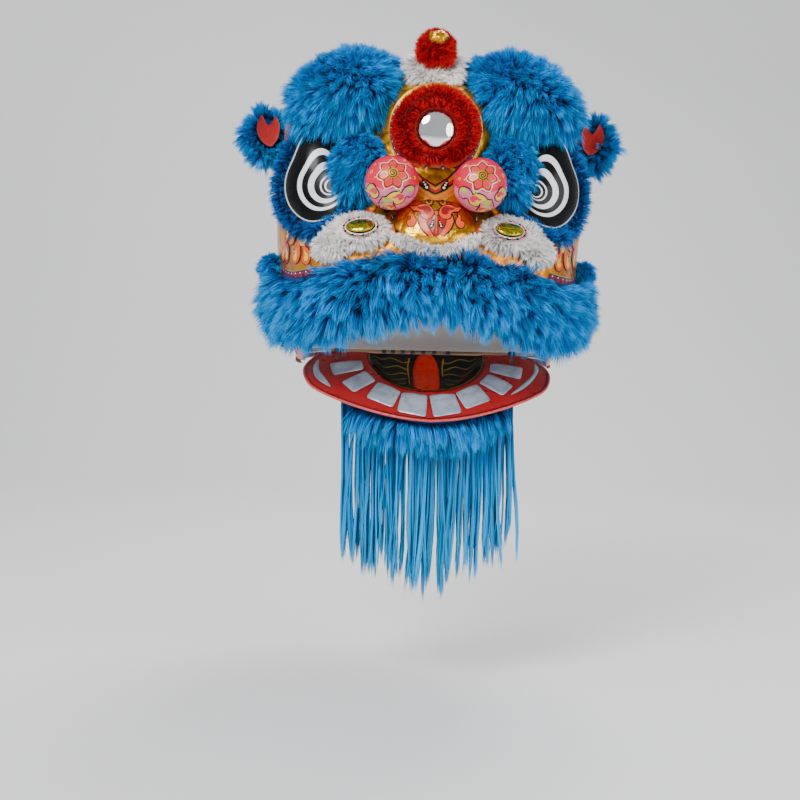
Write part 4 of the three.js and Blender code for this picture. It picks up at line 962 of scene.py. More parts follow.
def disc(x, y, radius, squash=1.0, steps=16):
    angle = np.arange(steps) * 2 * np.pi / steps
    return np.stack([x + radius * np.cos(angle), y + radius * squash * np.sin(angle)], axis=-1)


def moved(shape, x=0.0, y=0.0, turn=0.0, size=1.0, mirror=1):
    c, s = math.cos(math.radians(turn)), math.sin(math.radians(turn))
    shape = np.asarray(shape, dtype=float) * size
    turned = np.stack([shape[:, 0] * c - shape[:, 1] * s, shape[:, 0] * s + shape[:, 1] * c], axis=-1)
    return (turned + (x, y)) * (mirror, 1)


def signed_area(shape):
    """Twice the area of an outline, negative where it runs clockwise."""
    return np.sum(shape[:, 0] * np.roll(shape[:, 1], -1) - np.roll(shape[:, 0], -1) * shape[:, 1])


def wider(shape, margin):
    """The outline moved outwards by a margin, for the line round a shape."""
    along = np.roll(shape, -1, 0) - np.roll(shape, 1, 0)
    normal = unit(np.stack([along[:, 1], -along[:, 0]], axis=-1))
    return shape + normal * margin * np.sign(signed_area(shape))


def ribbon(path, width):
    path = np.asarray(path, dtype=float)
    along = np.gradient(path, axis=0)
    normal = unit(np.stack([-along[:, 1], along[:, 0]], axis=-1))
    half = 0.5 * np.broadcast_to(width, len(path))[:, None]
    return np.concatenate([path + normal * half, (path - normal * half)[::-1]])


def inside(points, outline):
    x, y = points[:, 0][:, None], points[:, 1][:, None]
    x1, y1 = outline[:, 0][None, :], outline[:, 1][None, :]
    x2, y2 = np.roll(x1, -1, 1), np.roll(y1, -1, 1)
    rise = np.where(np.abs(y2 - y1) < 1e-9, 1e-9, y2 - y1)
    crossing = ((y1 > y) != (y2 > y)) & (x < (x2 - x1) * (y - y1) / rise + x1)
    return crossing.sum(axis=1) % 2 == 1


def filled(outline):
    low, high = outline.min(axis=0), outline.max(axis=0)
    grid = np.array([(x, y) for x in np.arange(low[0] + FILL_SPACING / 2, high[0], FILL_SPACING)
                     for y in np.arange(low[1] + FILL_SPACING / 2, high[1], FILL_SPACING)])
    points = outline
    if len(grid):
        gap = np.linalg.norm(grid[:, None] - outline[None, :], axis=-1).min(axis=1)
        points = np.concatenate([outline, grid[inside(grid, outline) & (gap > FILL_SPACING * 0.3)]])
    count = len(outline)
    edges = [(i, (i + 1) % count) for i in range(count)]
    made = geometry.delaunay_2d_cdt([Vector(point) for point in points], edges, [], 1, 1e-5)
    flat = np.array([tuple(point) for point in made[0]])
    faces = np.array([face for face in made[2] if len(face) == 3], dtype=int)
    return flat, faces


def ornament(name, body, shapes, place, flip=False):
    """shapes are (outline, paint, layer). place(u, v, height) lays points on their surface."""
    points, faces, paints, used = [], [], [], []
    first = 0
    for outline, paint, layer in shapes:
        flat, triangles = filled(np.asarray(outline, dtype=float))
        if not len(triangles):
            continue
        if paint not in used:
            used.append(paint)
        points.append(place(flat[:, 0], flat[:, 1], np.full(len(flat), LAYER_STEP * (layer + 1))))
        faces.append((triangles[:, ::-1] if flip else triangles) + first)
        paints.append(np.full(len(triangles), used.index(paint)))
        first += len(flat)
    mesh = new_mesh(name, np.concatenate(points), [np.concatenate(faces)])
    piece(name, body, mesh, [PAINTS[paint] for paint in used])
    mesh.polygons.foreach_set("material_index", np.concatenate(paints).astype(np.int32))
    print(name, len(shapes), "shapes,", len(mesh.polygons), "triangles")


def outlined(shape, paint, layer, line=1.6, ink="black"):
    return [(wider(shape, line), ink, layer), (shape, paint, layer + 1)]


def on_side(shapes, side):
    """The same shapes on the left side, or mirrored to the right."""
    return [(outline * (side, 1), paint, layer) for outline, paint, layer in shapes]


LEAF = smooth_closed([(0, -0.5), (0.3, -0.15), (0.34, 0.15), (0.12, 0.42), (0, 0.5),
                      (-0.12, 0.42), (-0.34, 0.15), (-0.3, -0.15)])
FLAME = smooth_closed([(0, 0), (0.06, 0.24), (0.26, 0.44), (0.54, 0.5), (0.8, 0.46), (1.04, 0.56),
                       (0.94, 0.3), (0.74, 0.22), (0.6, 0.08), (0.62, -0.12), (0.46, -0.26),
                       (0.22, -0.28), (0.04, -0.16)], 5)
DROP = smooth_closed([(0, 0.6), (0.18, 0.2), (0.24, -0.12), (0, -0.36), (-0.24, -0.12), (-0.18, 0.2)], 5)


def dotted_drop(x, y, turn, size, layer, mirror=1):
    shapes = [(moved(DROP, x, y, turn, size, mirror), "black", layer)]
    for k, rise in enumerate((-0.12, 0.12, 0.32)):
        spot = moved([(0.0, rise)], x, y, turn, size, mirror)[0]
        shapes.append((disc(*spot, size * (0.1 - 0.02 * k), steps=10), "white", layer + 1))
    return shapes


def flame_with_heart(x, y, turn, size, paint, side):
    heart = moved(FLAME, x + 3, y + 4, turn, size * 0.5, side)
    return outlined(moved(FLAME, x, y, turn, size, side), paint, 1, 1.5) + [(heart, "yellow", 3)]


def scalloped_band(path, width, pitch, layer):
    """A navy band with a red wave along it and white dots in the bays of the wave."""
    path = np.asarray(path, dtype=float)
    steps = np.concatenate([[0], np.cumsum(np.linalg.norm(np.diff(path, axis=0), axis=1))])
    count = max(2, round(steps[-1] / pitch))
    even = np.linspace(0, steps[-1], count * 8 + 1)
    line = np.stack([np.interp(even, steps, path[:, k]) for k in range(2)], axis=-1)
    along = np.gradient(line, axis=0)
    normal = unit(np.stack([-along[:, 1], along[:, 0]], axis=-1))
    wave = line + normal * (width * 0.24 * np.cos(np.arange(len(line)) * 2 * np.pi / 8))[:, None]
    shapes = [(ribbon(line, width), "navy", layer), (ribbon(wave, width * 0.2), "red", layer + 1)]
    for k in range(count):
        middle = line[8 * k + 4] + normal[8 * k + 4] * width * 0.2
        shapes.append((disc(*middle, width * 0.11, steps=8), "white", layer + 1))
    shapes.append((ribbon(line + normal * width * 0.52, width * 0.14), "gold", layer + 1))
    return shapes


print("ornament helpers ready")

# %% [markdown]
# ## Ornament on the shell
# Under the eyes the shell is gold with orange flames, edged by a dark band with a red wave and white
# dots. The photograph doesn't show the sides and the back, so they carry the same flames and band,
# larger, in the way such heads are usually painted.

# %% Shell ornament
WRAP_RADIUS = 280.0


def on_shell(u, v, height):
    """u runs round the shell in millimetres from the front towards its left side, v is the height."""
    turn = u / WRAP_RADIUS
    outward = front_way(turn)
    start = np.stack([np.zeros_like(u), np.full_like(u, SKULL_MIDDLE[1]), v], axis=-1)
    spot = skull_hit(start, outward)
    return spot + skull_normal(spot) * (height + 0.2)[:, None]


def cheek_shapes(side):
    shapes = []
    arch = 151 - 10 * np.sin(np.linspace(0, 1, 30) * np.pi)
    band = np.stack([np.linspace(205, 345, 30), arch], axis=-1)
    shapes += on_side(scalloped_band(band, 15, 15, 1), side)
    for x, y, turn, size, paint in ((222, 166, 35, 34, "orange"), (256, 164, 62, 38, "orange"),
                                    (292, 168, 30, 40, "red"), (322, 166, 70, 36, "orange"),
                                    (238, 200, 20, 28, "yellow"), (276, 204, 10, 30, "orange"),
                                    (306, 206, 30, 26, "red")):
        shapes += flame_with_heart(x, y, turn, size, paint, side)
    for x, y, turn in ((214, 186, -30), (266, 184, -60), (306, 190, -40)):
        shapes += dotted_drop(x, y, turn, 14, 2, side)
    return shapes


def muzzle_shapes(side):
    """Flames, and dark drops with white dots, between the nose and the white pads."""
    shapes = []
    for x, y, turn, size, paint in ((60, 262, 40, 30, "orange"), (96, 268, 20, 34, "red"),
                                    (134, 262, 10, 34, "orange"), (64, 236, 60, 22, "red"),
                                    (150, 214, 30, 36, "orange"),
                                    (186, 210, 40, 34, "orange"), (168, 240, 10, 26, "red")):
        shapes += flame_with_heart(x, y, turn, size, paint, side)
    for x, y, turn in ((88, 250, -30), (126, 252, -60), (152, 236, -20), (200, 196, -40)):
        shapes += dotted_drop(x, y, turn, 13, 2, side)
    return shapes


def back_shapes():
    shapes = []
    for side in (1, -1):
        rim = np.stack([np.linspace(420, 876, 90), np.full(90, -6.0)], axis=-1)
        shapes += on_side(scalloped_band(rim, 22, 24, 0), side)
        arch = 330 + 46 * np.sin(np.linspace(0, 1, 70) * np.pi)
        upper = np.stack([np.linspace(470, 860, 70), arch], axis=-1)
        shapes += on_side(scalloped_band(upper, 18, 22, 0), side)
        for row, (height, size, shift) in enumerate(((34, 86, 0), (128, 104, 30), (232, 92, 0))):
            for k in range(4):
                x = 446 + shift + 104 * k
                if x + size > 872:
                    continue
                paint = ("orange", "red", "deep_red")[(k + row) % 3]
                turn = 24 + 14 * (k % 2)
                shapes += outlined(moved(FLAME, x, height + 8, turn, size, side), paint, 1, 2.4)
                heart = moved(FLAME, x + 10, height + 12, turn, size * 0.56, side)
                core = moved(FLAME, x + 16, height + 15, turn, size * 0.26, side)
                tail = moved(FLAME, x + size * 0.5, height - 10, turn - 60, size * 0.4, side)
                shapes += outlined(heart, "yellow", 3, 1.6) + [(core, "red", 5)]
                shapes += outlined(tail, "gold", 1)
                shapes += dotted_drop(x + size * 0.2, height + size * 0.66, 40, 22, 2, side)
    for k in range(6):
        x, y = np.pi * WRAP_RADIUS, 26 + 62 * k
        shapes += outlined(moved(LEAF, x, y, 0, 58), "orange", 1, 2.2)
        shapes.append((moved(LEAF, x, y - 3, 0, 34), "red", 3))
        shapes.append((disc(x, y - 4, 5), "yellow", 4))
    return shapes


for side_name, side in SIDES:
    for label, draw in (("cheek", cheek_shapes), ("muzzle", muzzle_shapes)):
        ornament(f"{label}_paint_{side_name}", "head", draw(side), on_shell, flip=side < 0)
ornament("back_paint", "head", back_shapes(), on_shell)

# %% [markdown]
# ## Brows
# The brows are the boldest fur on the head: two deep mounds that hang over the eyes. Each is an egg
# of stuffing under long fur, combed outwards and left to fall at its lower edge.

# %% Brows
BROW_MIDDLE = np.array([163.0, -48.0, 476.0])
BROW_SIZE = np.array([116.0, 94.0, 80.0])
BROW_TILT = math.radians(-24)


def mirrored(points, side):
    return points * np.array([side, 1, 1])


def brow_skin(side, scale):
    long = np.array([math.cos(BROW_TILT), 0, math.sin(BROW_TILT)])
    tall = np.array([-math.sin(BROW_TILT), 0, math.cos(BROW_TILT)])

    def place(angle, reach, bulge):
        offset = (np.outer(np.cos(angle) * reach * BROW_SIZE[0], long)
                  + np.outer(bulge * BROW_SIZE[1], [0, -1, 0])
                  + np.outer(np.sin(angle) * reach * BROW_SIZE[2], tall))
        return mirrored(BROW_MIDDLE + offset * scale, side)
    return pebble(36, 20, place)


def falling(amount):
    """Fur that hangs: the lower its root on the form, the more it is combed down."""
    def comb(root, normal):
        lower = np.clip(0.3 - normal[:, 2], 0, 1)[:, None]
        return DOWN * amount * lower
    return comb


def behind_skull(margin):
    """Roots that would start inside the shell are left out."""
    def bare(root, normal):
        return skull_field(root - normal * margin) > 1
    return bare


for side_name, side in SIDES:
    fur_piece(f"brow_fur_{side_name}", "head", [f"brow_{side_name}"], brow_skin(side, 0.84), BLUE_FUR,
              blades=44000, length=42, width=2.1, comb=falling(0.9), droop=0.3, lock_size=22,
              seed=11 + side, bare=behind_skull(4))

# %% [markdown]
# ## The long fur of the lip and cheeks
# One thick band of fur follows the upper lip from cheek to cheek. Its skin is a flattened sausage
# that runs round the front of the shell, and a round tuft closes each end.

# %% Lip and cheek tufts
LIP_SWEEP = math.radians(94)
LIP_OUT, LIP_SUNK = 34, 12
TUFT_MIDDLE = np.array([300.0, -22.0, 156.0])


def lip_place(turn):
    outward = front_way(turn)
    level = np.stack([np.zeros_like(turn), np.full_like(turn, SKULL_MIDDLE[1]),
                      np.full_like(turn, 130)], axis=-1)
    across = np.abs(skull_hit(level, outward)[:, 0])
    high = 198 - 28 * np.minimum(1, across / 240) ** 1.1
    low = 88 - 66 * np.minimum(1, across / 225) ** 1.1
    level[:, 2] = np.maximum((high + low) / 2, 90)
    spot = skull_hit(level, outward)
    spot[:, 2] = (high + low) / 2
    return spot, outward, (high - low) / 2


def lip_skin():
    def path(t):
        spot, outward, _ = lip_place((2 * t - 1) * LIP_SWEEP)
        return spot, same_way(spot, 0, 0, 1), outward

    def section(t, angle):
        half = lip_place((2 * t - 1) * LIP_SWEEP)[2]
        forward = np.cos(angle)
        return half * 0.74 * np.sin(angle), forward * np.where(forward > 0, LIP_OUT * 0.66, LIP_SUNK)

    return sausage(22, 90, path, section)


def lip_comb(root, normal):
    outward = unit(np.stack([root[:, 0], root[:, 1] - SKULL_MIDDLE[1], np.zeros(len(root))], axis=-1))
    return 0.25 * outward + falling(0.5)(root, normal)


fur_piece("lip_fur_band", "head", ["lip_fur"], lip_skin(), BLUE_FUR, blades=61000, length=44, width=2.1,
          comb=lip_comb, droop=0.32, lock_size=24, pull=0.45, fray=0.34, seed=5, bare=behind_skull(4))


def ball_skin(middle, radius, columns=26, rows=16):
    def place(angle, reach, bulge):
        return middle + radius * np.stack([np.cos(angle) * reach, -bulge, np.sin(angle) * reach], axis=-1)
    return pebble(columns, rows, place)


for side_name, side in SIDES:
    fur_piece(f"cheek_tuft_fur_{side_name}", "head", [f"cheek_tuft_{side_name}"],
              ball_skin(mirrored(TUFT_MIDDLE, side), 14), BLUE_FUR, blades=4000, length=20,
              comb=falling(0.3), fray=0.4, seed=31 + side)

# %% [markdown]
# ## Eyes
# Each eye is a drop-shaped dome painted in nested rings, black and white, under clear gloss. The
# rings are cut into the mesh: every ring is a blend between the drop of the outline and a circle
# round the pupil, so the stripes stay crisp at any distance.

# %% Eyes
EYE = {"x": 182, "z": 302, "radius": 73, "peak": 50, "dome": 34}
PUPIL = {"u": -36, "v": -2, "radius": 9}
# share of the way from the pupil to the outline where each ring ends, and whether it is white
EYE_RINGS = ((0.13, False), (0.16, True), (0.21, False), (0.24, True), (0.34, False), (0.45, True),
             (0.56, False), (0.65, True), (0.91, False), (0.945, True), (1.0, False))


def eye_seat(side):
    return Seat(EYE["x"] * side, 0, EYE["z"], (0.26 * side, -1, 0.04))


def eye_outline(angle, side):
    local = np.where(side > 0, np.pi - angle, angle)
    away = (local - math.radians(97) + np.pi) % (2 * np.pi) - np.pi
    return EYE["radius"] + EYE["peak"] * np.exp(-((away / 0.45) ** 2))


def eye_mesh(side):
    seat = eye_seat(side)
    columns = 96
    angle = np.arange(columns) * 2 * np.pi / columns
    shares = [0.0]
    for end, _ in EYE_RINGS:
        steps = max(1, round((end - shares[-1]) / 0.05))
        shares += list(np.linspace(shares[-1], end, steps + 1)[1:])
    rings = []
    outline = eye_outline(angle, side)
    edge = np.stack([np.cos(angle) * outline, np.sin(angle) * outline], axis=-1)
    pupil = np.array([PUPIL["u"] * side, PUPIL["v"]])

    def reach_of(flat):
        return np.hypot(flat[:, 0], flat[:, 1]) / eye_outline(np.arctan2(flat[:, 1], flat[:, 0]), side)

    for share in shares[1:]:
        circle = np.stack([np.cos(angle), np.sin(angle)], axis=-1) * EYE["radius"] * share
        flat = pupil * (1 - share) + (circle * (1 - share) + edge * share * share)
        bulge = np.sqrt(np.maximum(0, 1 - np.minimum(1, reach_of(flat)) ** 2))
        rings.append(on_seat(seat, flat[:, 0], flat[:, 1], 3 + EYE["dome"] * bulge ** 0.9))
    middle_reach = np.minimum(1, reach_of(pupil[None, :]))
    middle = on_seat(seat, pupil[:1], pupil[1:], 3 + EYE["dome"] * np.sqrt(1 - middle_reach ** 2) ** 0.9)
    skirt = rings[-1] - seat.out * 6
    count = len(rings)
    points = np.concatenate([middle, *rings, skirt])
    column = np.arange(columns)
    beside = (column + 1) % columns
    fan = np.stack([np.zeros(columns, dtype=int), 1 + column, 1 + beside], axis=-1)
    quads = grid_faces(count + 1, columns)[:, ::-1] + 1
    mesh = new_mesh("eye", points, [fan, quads])
    white = [EYE_RINGS[0][1]] * columns
    for share in shares[2:]:
        tone = next(is_white for end, is_white in EYE_RINGS if share <= end + 1e-9)
        white += [tone] * columns
    white += [False] * columns
    mesh.polygons.foreach_set("material_index", np.array(white, dtype=np.int32))
    return mesh


def eye_trim_skin(side):
    seat = eye_seat(side)

    def place(angle, tube):
        extra = 13 + 7.5 * np.cos(tube)
        size = eye_outline(angle, side) + extra
        return on_seat(seat, np.cos(angle) * size, np.sin(angle) * size, 3 + 7 * np.sin(tube))
    return ring(110, 8, place)


def across_seat(seat, root):
    """Where roots lie from the middle of a seat, along its surface."""
    offset = root - seat.middle
    return offset - np.outer(offset @ seat.out, seat.out)


def away_from(seat, amount):
    return lambda root, normal: amount * unit(across_seat(seat, root))


for side_name, side in SIDES:
    piece(f"eye_dome_{side_name}", "head", eye_mesh(side), [EYE_BLACK, EYE_WHITE], [f"eye_{side_name}"])
    fur_piece(f"eye_trim_fur_{side_name}", "head", [f"eye_trim_{side_name}"], eye_trim_skin(side),
              BLUE_TRIM, blades=11000, length=21, comb=away_from(eye_seat(side), 0.2), droop=0.15, lock_size=10,
              seed=21 + side, bare=behind_skull(2))

# %% [markdown]
# ## Eyelids
# A fur flap hangs from a hinge under each brow and covers the inner half of the eye. It rides on its
# own body, so it lifts when a string inside the real head is pulled.

# %% Eyelids
LID = {"x": 122, "z": 342, "u": 50, "v": 64, "lift": 38}


def lid_skin(side):
    seat = Seat(LID["x"] * side, -60, LID["z"], (0.26 * side, -1, 0.04))

    def place(angle, reach, bulge):
        down = np.maximum(0, -np.sin(angle))
        u = np.cos(angle) * reach * LID["u"] * (1 - 0.25 * down) * 0.8
        v = np.sin(angle) * reach * LID["v"] * (1 + 0.1 * down) * 0.82
        height = np.where(bulge >= 0, 14 + (LID["lift"] - 12) * np.maximum(bulge, 0) ** 0.45, 8)
        return on_seat(seat, u, v, height)
    return pebble(30, 14, place)


for side_name, side in SIDES:
    lid = f"eyelid_{side_name}"
    fur_piece(f"eyelid_fur_{side_name}", lid, [lid], lid_skin(side), BLUE_FUR, blades=13000,
              length=27, comb=falling(0.8), droop=0.4, lock_size=18, seed=41 + side,
              bare=lambda root, normal: normal[:, 1] > 0.4)

# %% [markdown]
# ## Ears
# Each ear is a small round cushion of fur with a lobed edge and a leaf of red felt in its hollow.

# %% Ears
EAR = {"x": 320, "y": 34, "z": 404, "u": 50, "v": 56, "depth": 24}
CUP = {"x": 312, "y": 10, "z": 412, "u": 24, "v": 29}


def ear_skin(side):
    def place(angle, reach, bulge):
        lobes = 1 + 0.15 * np.cos(angle * 5 + 0.4)
        hollow = np.where(bulge > 0, -12 * (1 - reach), 0)
        u = np.cos(angle) * reach * EAR["u"] * lobes * 0.7
        v = np.sin(angle) * reach * EAR["v"] * lobes * 0.7
        depth = bulge * EAR["depth"] * 0.72 + hollow
        spot = np.stack([EAR["x"] - 6 + u, EAR["y"] - depth - u * 0.25, EAR["z"] + v], axis=-1)
        return mirrored(spot, side)
    return pebble(50, 16, place)


def cup_mesh(side):
    """A felt leaf with two pointed lobes at the top, dished a little."""
    leaf = smooth_closed([(-4, -29), (12, -20), (22, -2), (21, 16), (13, 30), (6, 17), (0, 12),
                          (-6, 18), (-14, 28), (-21, 12), (-20, -6), (-14, -20)], 6)
    flat, faces = filled(leaf)
    dish = 8 * np.clip(1 - np.hypot(flat[:, 0] / 24, flat[:, 1] / 30) ** 2, 0, 1)
    front = np.stack([CUP["x"] + flat[:, 0], CUP["y"] - 5 + dish, CUP["z"] + flat[:, 1]], axis=-1)
    back = front + (0, 1.6, 0)
    count, edge = len(flat), len(leaf)
    k = np.arange(edge)
    rim = np.stack([k, (k + 1) % edge, (k + 1) % edge + count, k + count], axis=-1)
    points = mirrored(np.concatenate([front, back]), side)
    sheets = np.concatenate([faces, faces[:, ::-1] + count])
    return new_mesh("ear_felt", *turned_outward(points, [sheets, rim]))


for side_name, side in SIDES:
    body = f"ear_{side_name}"
    centre = mirrored(np.array([EAR["x"] - 6, EAR["y"] - 6.0, EAR["z"]]), side)

    def ear_comb(root, normal, centre=centre):
        return 0.55 * unit((root - centre) * (1, 0.2, 1))

    def over_felt(root, normal, side=side):
        flat = np.hypot((root[:, 0] * side - CUP["x"]) / 22, (root[:, 2] - CUP["z"]) / 26)
        return (flat < 1) & (normal[:, 1] < 0.2)

    fur_piece(f"ear_fur_lobes_{side_name}", body, [f"ear_fur_{side_name}"], ear_skin(side), BLUE_FUR,
              blades=12500, length=31, width=2.0, comb=ear_comb, droop=0.12, lock_size=22, seed=51 + side,
              bare=over_felt)
    piece(f"ear_felt_{side_name}", body, cup_mesh(side), [RED_FELT], [f"ear_cup_{side_name}"])

# %% [markdown]
# ## Forehead, mirror and fur ring
# A round boss on the forehead carries a convex mirror in a thin rim, and a ring of short red fur.
# Round its lower edge runs a dark band with a red wave and white dots, which the fur nearly covers.

# %% Forehead
BOSS = {"radius": 86, "rise": 12, "drop": 11, "depth": 60}
MIRROR = {"radius": 36, "edge": 7, "dome": 11}
BOSS_GAP = 0.9
BEZEL = {"middle": 38.6, "half": 2.0, "rise": 9}
RED_RING = {"middle": 61, "half": 13, "rise": 20, "slimmer": 9}
BOSS_SEAT = Seat(0, -100, 410, (0, -1, 0.02))


def boss_height(radius):
    return BOSS["rise"] - BOSS["drop"] * (radius / BOSS["radius"]) ** 2


def round_on_boss(angle, radius, height):
    return BOSS_SEAT.flat(np.cos(angle) * radius, np.sin(angle) * radius, boss_height(radius) + height)


def boss_mesh():
    def place(angle, reach, bulge):
        radius = reach * BOSS["radius"]
        front = bulge >= -1e-9
        return round_on_boss(angle, radius, np.where(front, 0, -BOSS["depth"] - boss_height(radius)))
    return pebble(96, 30, place)


def mirror_mesh():
    def place(angle, reach, bulge):
        radius = reach * MIRROR["radius"]
        dome = MIRROR["edge"] + MIRROR["dome"] * np.maximum(bulge, 0)
        height = np.where(bulge >= -1e-9, dome, BOSS_GAP)
        return round_on_boss(angle, radius, height)
    return pebble(80, 34, place)


def boss_ring(middle, half, rise, slimmer=0.0):
    """slimmer draws the lower part of the ring in, so that the painted edge of the boss shows."""
    def place(angle, tube):
        drawn = slimmer * np.maximum(0, -np.sin(angle)) ** 2
        reach = middle - 1.3 * drawn + (half - drawn) * np.cos(tube)
        return round_on_boss(angle, reach, BOSS_GAP + rise * np.maximum(0, np.sin(tube)))
    return ring(120, 14, place)


def on_boss(u, v, height):
    return BOSS_SEAT.flat(u, v, boss_height(np.hypot(u, v)) + height)


def boss_shapes():
    """A band with a red wave round the lower edge, and orange with two dots above it."""
    sweep = np.radians(np.linspace(-212, 32, 90))
    line = np.stack([np.cos(sweep), np.sin(sweep)], axis=-1)
    field = np.concatenate([line * 76, line[::-1] * 50])
    shapes = [(field, "orange", 0)] + scalloped_band((line * 80)[::-1], 9.5, 12, 1)
    for x in (-15, 15):
        shapes += outlined(disc(x, -69, 4.2), "deep_red", 2, 1.2)
        shapes.append((disc(x, -69, 1.6, steps=8), "white", 4))
    return shapes


def comb_on_ring(seat, middle, amount):
    def comb(root, normal):
        flat = across_seat(seat, root)
        return amount * unit(flat - unit(flat) * middle)
    return comb


boss = new_mesh("forehead_boss", *boss_mesh())
piece("forehead_boss", "head", boss, [PAINTS["gold"]], ["forehead_plate"])
ornament("forehead_paint", "head", boss_shapes(), on_boss)
piece("mirror_dome", "head", new_mesh("mirror_dome", *mirror_mesh()), [MIRROR_GLASS], ["mirror"])
bezel = new_mesh("mirror_bezel", *boss_ring(**BEZEL))
piece("mirror_bezel", "head", bezel, [PAINTS["deep_red"]], ["mirror_rim"])
fur_piece("mirror_fur_ring", "head", ["mirror_ring"], boss_ring(**RED_RING), RED_FUR,
          blades=16000, length=15, width=1.4, comb=comb_on_ring(BOSS_SEAT, 60, 0.3), droop=0.1, lock_size=9, pull=0.3,
          fray=0.4, seed=61, bare=lambda root, normal: normal[:, 1] > 0.6)

# %% [markdown]
# ## Bridge of the nose
# Between the two painted balls a gold and red chevron runs down from the forehead, with dark drops
# that hold white dots.

# %% Bridge ornament
BRIDGE_SEAT = Seat(0, -120, 300, (0, -1, 0.1))


def on_bridge(u, v, height):
    return on_seat(BRIDGE_SEAT, u, v, height + 0.2)


def chevron(width, drop, thick, top):
    path = np.array([(-width, top), (-width * 0.55, top - drop * 0.55), (0, top - drop),
                     (width * 0.55, top - drop * 0.55), (width, top)])
    fine = np.linspace(0, 4, 33)
    line = np.stack([np.interp(fine, np.arange(5), path[:, k]) for k in range(2)], axis=-1)
    return ribbon(line, thick)


bridge = [(chevron(52, 46, 17, 40), "black", 1), (chevron(52, 46, 12, 40), "red", 2),
          (chevron(50, 44, 5, 40), "gold", 3), (chevron(48, 40, 15, 12), "gold", 1),
          (chevron(46, 38, 4, 12), "orange", 2)]
for x, turn in ((-17, 26), (17, -26)):
    bridge += dotted_drop(x, 2, turn, 26, 4)
ornament("bridge_paint", "head", bridge, on_bridge)

# %% [markdown]
# ## Horn
# A short paper horn covered in foil rises from the crown. Two tiers of white fur stand round it, and
# a red fur ball with a knob of crumpled foil closes its top.

# %% Horn
HORN_BASE = np.array([0.0, -42.0, 486.0])
HORN_TOP = np.array([0.0, -94.0, 550.0])
HORN_RADII = (58, 24)
POM_MIDDLE = np.array([0.0, -98.0, 562.0])
POM_RADIUS = 45
HORN_AXIS = unit(HORN_TOP - HORN_BASE)
HORN_LENGTH = float(np.linalg.norm(HORN_TOP - HORN_BASE))
HORN_ACROSS = np.array([1.0, 0.0, 0.0])
HORN_BEHIND = np.cross(HORN_ACROSS, HORN_AXIS)


def on_horn(angle, radius, along):
    return (HORN_BASE + np.outer(np.cos(angle) * radius, HORN_ACROSS)
            + np.outer(np.sin(angle) * radius, HORN_BEHIND)
            + np.outer(np.broadcast_to(along, np.shape(angle)), HORN_AXIS))


def horn_mesh():
    columns, rows = 90, 40
    angle, t = (grid.ravel() for grid in np.meshgrid(np.arange(columns) * 2 * np.pi / columns,
                                                     np.linspace(0, 1, rows)))
    along = -12 + (HORN_LENGTH + 12) * t
    radius = HORN_RADII[0] + (HORN_RADII[1] - HORN_RADII[0]) * t - 6 * np.sin(t * np.pi)
    radius = radius * (1 + 0.02 * np.cos(10 * angle)) + 1.4 * np.cos(t * 40)
    return turned_outward(on_horn(angle, radius, along), [grid_faces(rows, columns)])


def tier_skin(middle, tube, along, tall):
    def place(angle, turn):
        return on_horn(angle, middle + np.cos(turn) * tube, along + np.sin(turn) * tall)
    return ring(70, 10, place)


def horn_comb(root, normal):
    offset = root - HORN_BASE
    around = offset - np.outer(offset @ HORN_AXIS, HORN_AXIS)
    return 0.5 * unit(around) - 0.25 * HORN_AXIS


KNOB_OUT = unit(np.array([0.05, -0.88, 0.47]))
KNOB_MIDDLE = POM_MIDDLE + KNOB_OUT * POM_RADIUS * 0.86


def knob_mesh():
    right = unit(np.cross([0, 0, 1], KNOB_OUT))
    up = np.cross(KNOB_OUT, right)

    def place(angle, reach, bulge):
        crumple = 1 + 0.09 * np.cos(5 * angle) * reach + 0.05 * np.cos(13 * angle + 4 * bulge)
        ridge = 0.6 * np.cos(9 * angle + 3 * reach) * reach
        return (KNOB_MIDDLE + np.outer(np.cos(angle) * reach * 18 * crumple, right)
                + np.outer(np.sin(angle) * reach * 13 * crumple, up)
                + np.outer(bulge * 11 + ridge, KNOB_OUT))
    return pebble(72, 30, place)


piece("horn_foil", "head", new_mesh("horn_foil", *horn_mesh()), [GREEN_FOIL], ["horn"])
for label, node, middle, tube, along, tall, seed in (("upper", "horn_fur_upper", 38, 10, 56, 11, 71),
                                                     ("lower", "horn_fur_lower", 54, 9, 22, 9, 72)):
    fur_piece(f"horn_fur_tier_{label}", "head", [node], tier_skin(middle, tube, along, tall), WHITE_FUR,
              blades=6500, length=21, width=1.8, comb=horn_comb, droop=0.25, fray=0.36, seed=seed)
fur_piece("horn_fur_ball", "head", ["horn_ball"], ball_skin(POM_MIDDLE, 29), RED_FUR, blades=10000,
          length=16, width=1.4, lock_size=9, pull=0.3, fray=0.42, droop=0.1, seed=73,
          bare=lambda root, normal: np.linalg.norm(root - KNOB_MIDDLE, axis=1) < 17)
piece("horn_foil_knob", "head", new_mesh("horn_foil_knob", *knob_mesh()), [GOLD_FOIL], ["horn_knob"])

# %% [markdown]
# ## Nose
# The nose is a moulded panel of gold foil with a ridge, painted with an orange leaf inside a black
# line. White fur edges it below, and beside it sit two pads of white fur with gold buttons.

# %% Nose
NOSE = {"z": 234, "half_width": 74, "half_height": 42, "lift": 24}
NOSE_SEAT = Seat(0, -150, NOSE["z"], (0, -1, 0.12))


def nose_corner(angle):
    c, s = np.abs(np.cos(angle)), np.abs(np.sin(angle))
    return 1 / (c ** 3 + s ** 3) ** 0.25


def nose_height(u, reach):
    bulge = np.sqrt(np.maximum(0, 1 - np.minimum(1, reach) ** 2))
    return 3 + NOSE["lift"] * bulge ** 0.8 + 7 * np.exp(-u ** 2 / 120) * bulge


